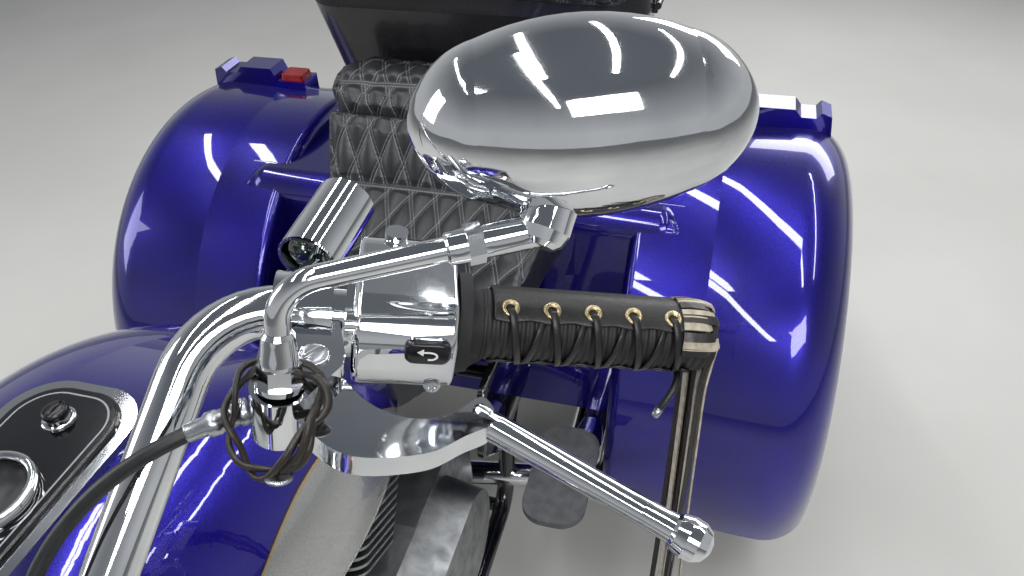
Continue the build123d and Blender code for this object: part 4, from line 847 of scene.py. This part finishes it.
def grip_fringe(side, word):
    """Strips over the grip's end and down, dark leather and pale suede in turn, varied by a
    fixed seed."""
    random = np.random.default_rng(11 if side > 0 else 12)
    strips, lengths = [], []
    for number in range(strip_count):
        angle = -75 + 150 * number / (strip_count - 1) + random.uniform(-3, 3)
        across = -round_bar(angle, 1.0, 0)[0]
        spread = 15.5 * across + random.uniform(-1.6, 1.6)
        reach = 118.5 + 2.0 * (number % 3) + random.uniform(-0.6, 0.6)
        top = bar([
            round_bar(angle, 19.8, 108), round_bar(angle, 20.2, 114),
            round_bar(angle, 19.0, reach + 3), round_bar(angle, 13.5, reach + 6.5),
        ])
        drop = bar([-spread, 2 - 12 * abs(across), reach + 6])
        length = random.uniform(0.236, 0.256)
        sway = random.uniform(-1, 1, 2) * 0.004
        fall = np.linspace(0.06, 1, 7)[:, None]
        aside = (sway[0], 0.010 * across + sway[1], 0)
        hang = drop + fall * (0, 0, -length) + fall**2 * aside
        line = smooth_line(np.vstack([top, hang]), 44) * (side, 1, 1)
        half_width = random.uniform(4.2, 5.4) / 2
        outward = (bar(round_bar(angle, 30, 112)) - bar([0, 0, 112])) * (side, 1, 1)
        strips.append(swept(line, flat_section(half_width, -0.55, 0.55), outward))
        run = np.linalg.norm(np.diff(line, axis=0), axis=1).sum()
        lengths.append((run, 2 * half_width / 1000))
    fringe = gathered(
        f"grip_fringe_{word}", strips, "steering", "fringe_leather", strip_leather, suede,
        smooth=False,
    )
    turns = [number % 2 for number, (_, faces) in enumerate(strips) for _ in faces]
    fringe.data.polygons.foreach_set("material_index", turns)
    outward_faces(fringe)
    return fringe


fringes = []
for side, word in both_sides:
    for piece in (grip_cover, grip_sleeve, grip_eyelets, grip_laces):
        piece(side, word)
    fringes.append(grip_fringe(side, word))
for fringe in fringes:
    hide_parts("grip_fringes")

# %% [markdown]
# ## Small parts of the handlebar controls, console and lamp
# Screw heads are discs whose faces are lowered along a slot. A disc's grid comes from a square
# one: a point (u, v) goes to (u sqrt(1 - v^2 / 2), v sqrt(1 - u^2 / 2)), which keeps its rows even.

# %% Screws, button, ferrule, thong, dial and lamp glass
def slotted_head(start, axis, along_slot, radius, height, slot_width, crossed=False, cells=26):
    """A screw head with one slot or two, and a rounded rim."""
    axis = unit(axis)
    first = unit(along_slot - axis * (along_slot @ axis))
    second = np.cross(axis, first)
    u, v = np.meshgrid(np.linspace(-1, 1, cells), np.linspace(-1, 1, cells), indexing="ij")
    x, y = u * np.sqrt(1 - v**2 / 2), v * np.sqrt(1 - u**2 / 2)
    away = np.hypot(x, y)
    reach = smooth_step(0.62 - away, 0, 0.08) if crossed else 1
    half, soft = slot_width / 2, 0.0003
    cut = 1 - smooth_step(np.abs(y) * radius, half, half + soft)
    if crossed:
        cut = np.maximum(cut, 1 - smooth_step(np.abs(x) * radius, half, half + soft))
    lift = height * (1 - 0.35 * away**6) - 0.6 * height * cut * reach
    flat = (x[..., None] * first + y[..., None] * second) * radius
    top = (start + flat + lift[..., None] * axis).reshape(-1, 3)
    faces = grid_faces(cells, cells).tolist()
    # A wall goes down from the grid's border, round its four sides
    grid = np.arange(cells * cells).reshape(cells, cells)
    border = np.concatenate([grid[0], grid[1:, -1], grid[-1, -2::-1], grid[-2:0:-1, 0]])
    foot = grid.size + np.arange(len(border))
    wall = [border, np.roll(border, -1), np.roll(foot, -1), foot]
    faces += np.stack(wall, axis=1).tolist()
    return np.vstack([top, top[border] - axis * height]), faces


def rounded_outline(width, height, corner, steps=6):
    """A rounded rectangle's points."""
    turn = np.pi / 2 * (np.arange(4)[:, None] + np.linspace(0, 1, steps))
    quarters = np.array([(1, 1), (-1, 1), (-1, -1), (1, -1)])
    middles = quarters * (width / 2 - corner, height / 2 - corner)
    rounds = corner * np.stack([np.cos(turn), np.sin(turn)], axis=-1)
    return (middles[:, None] + rounds).reshape(-1, 2)


printed_white = coated("printed_white", "e8e8e6", "dcdcd8", 4, (0.35, 0.45), 0.5, 0.01)
button_plastic = coated("black_button_plastic", "0b0b0d", "121215", 6, (0.18, 0.28), 0.6, 0.02)
twisted_leather = leather("twisted_brown_leather", "16120d", "2b2319")
dial_paint = coated("dial_black", "0c0c0e", "131316", 8, (0.3, 0.42), 0.7, 0.01)
# The lamp glass's dark green is painted shade in the lamp's open mouth, with a painted green
# reflection.
painted_shade_glint_glass = coated(
    "lamp_glass_painted_shade_and_green_reflection", "0d2420", "08120f", 9, (0.03, 0.08), 3, 0.03, Coat_Weight=1.0
)


def control_screws(side, word):
    """The lever's pivot screw in its rim, and the switch housing's crossed screw."""
    up, out, back = (axis * (side, 1, 1) for axis in (bar_up, bar_out, bar_back))
    pivot, low_screw = bar([-37, 6.02, -72], side), bar([-33.5, -13, -17], side)
    screws = [
        slotted_head(pivot, up, out + back, 0.0062, 0.0022, 0.0018),
        slotted_head(low_screw, -back, up, 0.0038, 0.0010, 0.0010, crossed=True),
    ]
    gathered(f"control_screws_{word}", screws, "steering", "chrome", brushed)
    rim = turned(
        [(0, 6.6), (0.4, 7.2), (0.9, 7.1), (1, 6.4)], bar([-37, 6.0, -72], side), up, 36
    )
    gathered(f"pivot_rim_{word}", [rim], "steering", "chrome", chrome)


def switch_button(side, word, up=10, out=-21):
    """The turn button and the arrow on it: a hooked line and a pointed head, both flat."""
    out_there, front = bar_out * (side, 1, 1), -bar_back * (side, 1, 1)
    path = bar([(back, up, out) for back in (-33.2, -36.2, -37.0, -37.4)], side)
    outline = rounded_outline(11.8, 20.8, 4.2)
    cap = swept(path, outline, out_there, taper=[1.02, 1.02, 0.97, 0.88])
    gathered(f"switch_button_{word}", [cap], "steering", "grip_leather", button_plastic)
    hook = [(-2.2, 1.7), (1.2, 1.8), (3.6, 1), (4.2, -0.8), (2.6, -2.3), (0.2, -2.5)]
    line = bar([(-37.5, up + y, out + x) for x, y in smooth_line(hook, 26)], side)
    tip = bar([(-37.5, up + y, out + x) for x, y in ((-5.0, 1.7), (-2.0, 3.8), (-2.0, -0.4))], side)
    wedge = [[0, 1, 2], [5, 4, 3], [0, 3, 4, 1], [1, 4, 5, 2], [2, 5, 3, 0]]
    arrow = [
        swept(line, flat_section(0.5, 0, 0.1), front),
        (np.vstack([tip, tip + front * 0.0001]), wedge),
    ]
    gathered(
        f"button_arrow_{word}", arrow, "steering", "plate_paint", printed_white, smooth=False
    )


for side, word in both_sides:
    control_screws(side, word)
    switch_button(side, word)

# The fitting on the cable's end at the perch
cable_end = bar([-57, -10, -98])
ferrule = turned(
    [(-1, 6.2), (4, 6.2), (4.5, 5.2), (12, 5.2), (12.5, 5.8), (17, 5.8), (18.5, 4.5),
     (26, 4.2), (27, 3.7)],
    cable_end, np.array([0.232, -0.333, 1.206]) - cable_end, 28,
)
gathered("cable_ferrule", [ferrule], "steering", "chrome", brushed)

# The thong: two strands twisted round a loop that hugs the perch, with a flat disc on its end
loop = bar([
    (-47, 10.5, -85), (-50, 10.5, -75), (-57, 10, -67), (-67, 6, -65), (-76, 2.5, -70),
    (-84, -8, -76), (-85, -18, -85), (-80, -20, -95), (-72, -12, -102), (-63, -3, -104),
    (-53, 7, -100), (-47, 10.5, -92), (-47, 10.5, -85),
])
twists, twist_radius = 4, 0.0021
strand = circle(2.0, 10, 0.7)
ring = smooth_line(loop, 140)[:-1]
turns = np.linspace(0, 2 * np.pi * twists, len(ring), endpoint=False)[:, None]
runs = unit(np.gradient(ring, axis=0))
aside = unit(np.cross(runs, bar_up))
above = np.cross(aside, runs)
strands = []
for phase in (0, np.pi):
    sway = twist_radius * (np.cos(turns + phase) * aside + np.sin(turns + phase) * above)
    strands.append(swept(ring + sway, strand, bar_up, closed=True))
for shift in (0, 2.5):
    tail = bar(smooth_line([
        (-75, 3, -69), (-82, -5, -72 + shift), (-84, -12, -75 + shift), (-85, -16.5, -81 + shift),
    ], 26))
    strands.append(swept(tail, strand, bar_up))
gathered("perch_thong", strands, "steering", "fringe_leather", twisted_leather)
disc = turned(
    [(0, 4), (0.5, 5.6), (1.3, 6), (1.9, 5.7), (2.1, 4)],
    bar([-88.5, -18, -80.5]), np.array([-0.06, 0.37, 0.93]), 30,
)
gathered("thong_disc", [disc], "steering", "fringe_leather", brushed)

# The fuel gauge: a black face with white marks, a red needle on a hub and a chrome bezel
gauge = np.array([0.0, -0.287, 1.0402])
upward = np.array([0.0, 0.0, 1.0])


def on_dial(radius, angle, height=0.4):
    """A point on the gauge, in millimetres from its middle and radians from the front."""
    return gauge + np.array((radius * math.sin(angle), -radius * math.cos(angle), height)) / 1000


face = turned([(0, 28.8), (0.2, 28.7)], gauge, upward, 48)
gathered("gauge_face", [face], "chassis", "gloss_black", dial_paint)
marks = []
for number, angle in enumerate(np.radians(np.linspace(-62, 62, 9))):
    inner = 18.5 if number % 4 == 0 else 21.2
    line = np.array([on_dial(inner, angle), on_dial(24.5, angle)])
    marks.append(swept(line, flat_section(0.5, 0, 0.1), upward))
band = np.array([on_dial(25.6, angle) for angle in np.radians(np.linspace(-64, 64, 40))])
marks.append(swept(band, flat_section(0.3, 0, 0.1), upward))
gathered("gauge_marks", marks, "chassis", "plate_paint", printed_white, smooth=False)
needle = swept(
    np.array([on_dial(radius, -0.62, 1.2) for radius in (-4, 8, 21.5)]),
    flat_section(0.9, 0, 0.3), upward, taper=[1, 1, 0.35],
)
gathered("gauge_needle", [needle], "chassis", "red_lens", red_lens)
hub = turned([(0, 3.2), (1.6, 3.2), (2, 2.6)], gauge, upward, 24)
gathered("gauge_hub", [hub], "chassis", "gloss_black", button_plastic)
bezel_points, bezel_faces = turned(
    [(-3.5, 35.2), (3, 35.2), (4.2, 33.8), (4.2, 30.5), (3, 29), (1.2, 28.8)], gauge, upward, 64
)
gathered("gauge_bezel", [(bezel_points, bezel_faces[:-2])], "chassis", "chrome", chrome)

# The knob behind the gauge: a chrome rim at its foot, and a black cap with a raised grip bar
knob = np.array([0.0, -0.214, 1.036])
rim = turned([(0, 12.2), (1.2, 12), (2, 11), (2.1, 9.1)], knob, upward, 40)
gathered("knob_rim", [rim], "chassis", "chrome", chrome)
cap = turned([(0.5, 9.4), (8.5, 9.4), (10.2, 9), (11, 7.8), (11.2, 5)], knob, upward, 40)
grip_bar = swept(
    knob + np.array([[0, -7.5, 11.0], [0, 0, 11.4], [0, 7.5, 11.0]]) / 1000, circle(1.6, 12), upward
)
gathered("knob_cap", [cap, grip_bar], "chassis", "gloss_black", button_plastic)

# The lamp body's glass, domed and set a little inside its open end. Its dark green colour is
# painted shade with a painted green reflection.
lamp_front, lamp_back = np.array([0.226, -0.192, 1.199]), np.array([0.226, -0.138, 1.205])
glass = turned(
    [(6, 15.8), (4.5, 13.5), (3.5, 9), (3.1, 4), (3, 0.8)], lamp_front, lamp_back - lamp_front, 40
)
gathered("lamp_glass", [glass], "steering", "clear_lens", painted_shade_glint_glass)

# %% [markdown]
# ## Corners between the tub and the fenders
# The tub's top edges are rounded and the fenders are cut straight beside them, which leaves a
# small open corner on each side. A plate closes it. Its height is the larger of two: the fender's
# round, z = centre + sqrt(radius^2 - (y - axle)^2), and a little under the tub's own top,
# whose two rounded edges lower it towards the side and the front.

# %% A curved plate in each corner
fender_radius, fender_axis_y, fender_axis_z = 0.418, 0.790, 0.360
tub_top = 0.745
side_round_x, side_round = 0.361, 0.034  # where the side edge's round starts, and its radius
front_round_y, front_round = 0.615, 0.040
plate_drop, plate_top, plate_thickness = 0.004, 0.7462, 0.002


def below_round(distance, radius):
    """How far a rounded edge lies below its face, at a distance past the start of the round."""
    reach = np.clip(distance, 0, radius)
    return radius - np.sqrt(radius**2 - reach**2)


def corner_plate(side, word):
    """The plate on one side."""
    x, y = np.meshgrid(
        np.linspace(0.350, 0.3965, 24), np.linspace(0.5749, 0.632, 30), indexing="ij"
    )
    fender = fender_axis_z + np.sqrt(fender_radius**2 - (y - fender_axis_y) ** 2)
    tub = tub_top - np.maximum(
        below_round(x - side_round_x, side_round), below_round(front_round_y - y, front_round)
    )
    top = np.minimum(np.maximum(fender, tub - plate_drop), plate_top)
    points = np.stack([side * x, y, top], axis=-1).reshape(-1, 3)
    plate = link_mesh(f"tub_corner_{word}", points, grid_faces(*x.shape), violet_paint)
    modify(plate, "SOLIDIFY", thickness=plate_thickness, offset=side)
    outward_faces(plate)
    plate.data.shade_smooth()
    plate.data.set_sharp_from_angle(angle=0.6)
    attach(plate, "chassis")


for side, word in both_sides:
    corner_plate(side, word)

# %% [markdown]
# ## Floor and light
# The floor is pale by its own colour. Near the horizon the sky is pale too, and every kind of ray
# sees the same sky, so chrome and glass show the background that the camera sees. Overhead it is
# darker, which gives the chrome its contrast, and long strips of light stand for ceiling tubes.

# %% A pale floor, large soft lights and an even sky
def plain_grid(name, low, high, z, material):
    """A flat four-cornered surface."""
    corners = [(x, y, z) for x, y in (low, (high[0], low[1]), high, (low[0], high[1]))]
    return link_mesh(name, corners, [(0, 1, 2, 3)], material, smooth=False)


floor_paint = coated("studio_floor", "c9c8c4", "c0bfbb", 900, (0.5, 0.65), 6, 0.05)
plain_grid("floor", (-9, -9), (9, 9), -0.0005, floor_paint)


def soft_light(name, place, target, size, power):
    """A rectangular area light turned towards a point."""
    data = bpy.data.lights.new(name, "AREA")
    data.shape = "RECTANGLE"
    data.size, data.size_y = size
    data.energy = power
    made = linked(name, data)
    aim = (Vector(target) - Vector(place)).to_track_quat("-Z", "Y")
    made.matrix_world = Matrix.Translation(place) @ aim.to_matrix().to_4x4()
    return made


soft_light("key", (1.8, -2.4, 3.2), (0, 0.2, 0.6), (1.8, 1.0), 62)
soft_light("fill", (-3.2, -0.8, 2.2), (0, 0, 0.6), (1.4, 1.8), 36)
soft_light("rear", (1.5, 3.8, 2.2), (0, 0.5, 0.7), (2.4, 1.0), 42)
ceiling, strip_turn = 3.4, 0.35
for number, (x, y) in enumerate(((-1.6, 0.2), (-0.5, 0.6), (0.6, 1.0), (1.7, 1.4), (0.1, -1.4))):
    place = (x, y, ceiling)
    strip = soft_light(f"ceiling_strip_{number}", place, (x, y, 0), (0.10, 3.6), 24)
    strip.matrix_world = Matrix.Translation(place) @ Matrix.Rotation(strip_turn, 4, "Z")

world = bpy.data.worlds.new("studio")
scene.world = world
world.use_nodes = True
sky = world.node_tree
overhead = ramp(sky, coordinates(sky, "Generated")[2], 0.12, 0.75, 0.0, 1.0)
shade = mix(sky, overhead, colour("d9dbdd"), colour("767b82"))
sky.links.new(shade, sky.nodes["Background"].inputs["Color"])
sky.nodes["Background"].inputs["Strength"].default_value = 0.7
scene.view_settings.view_transform = "Standard"
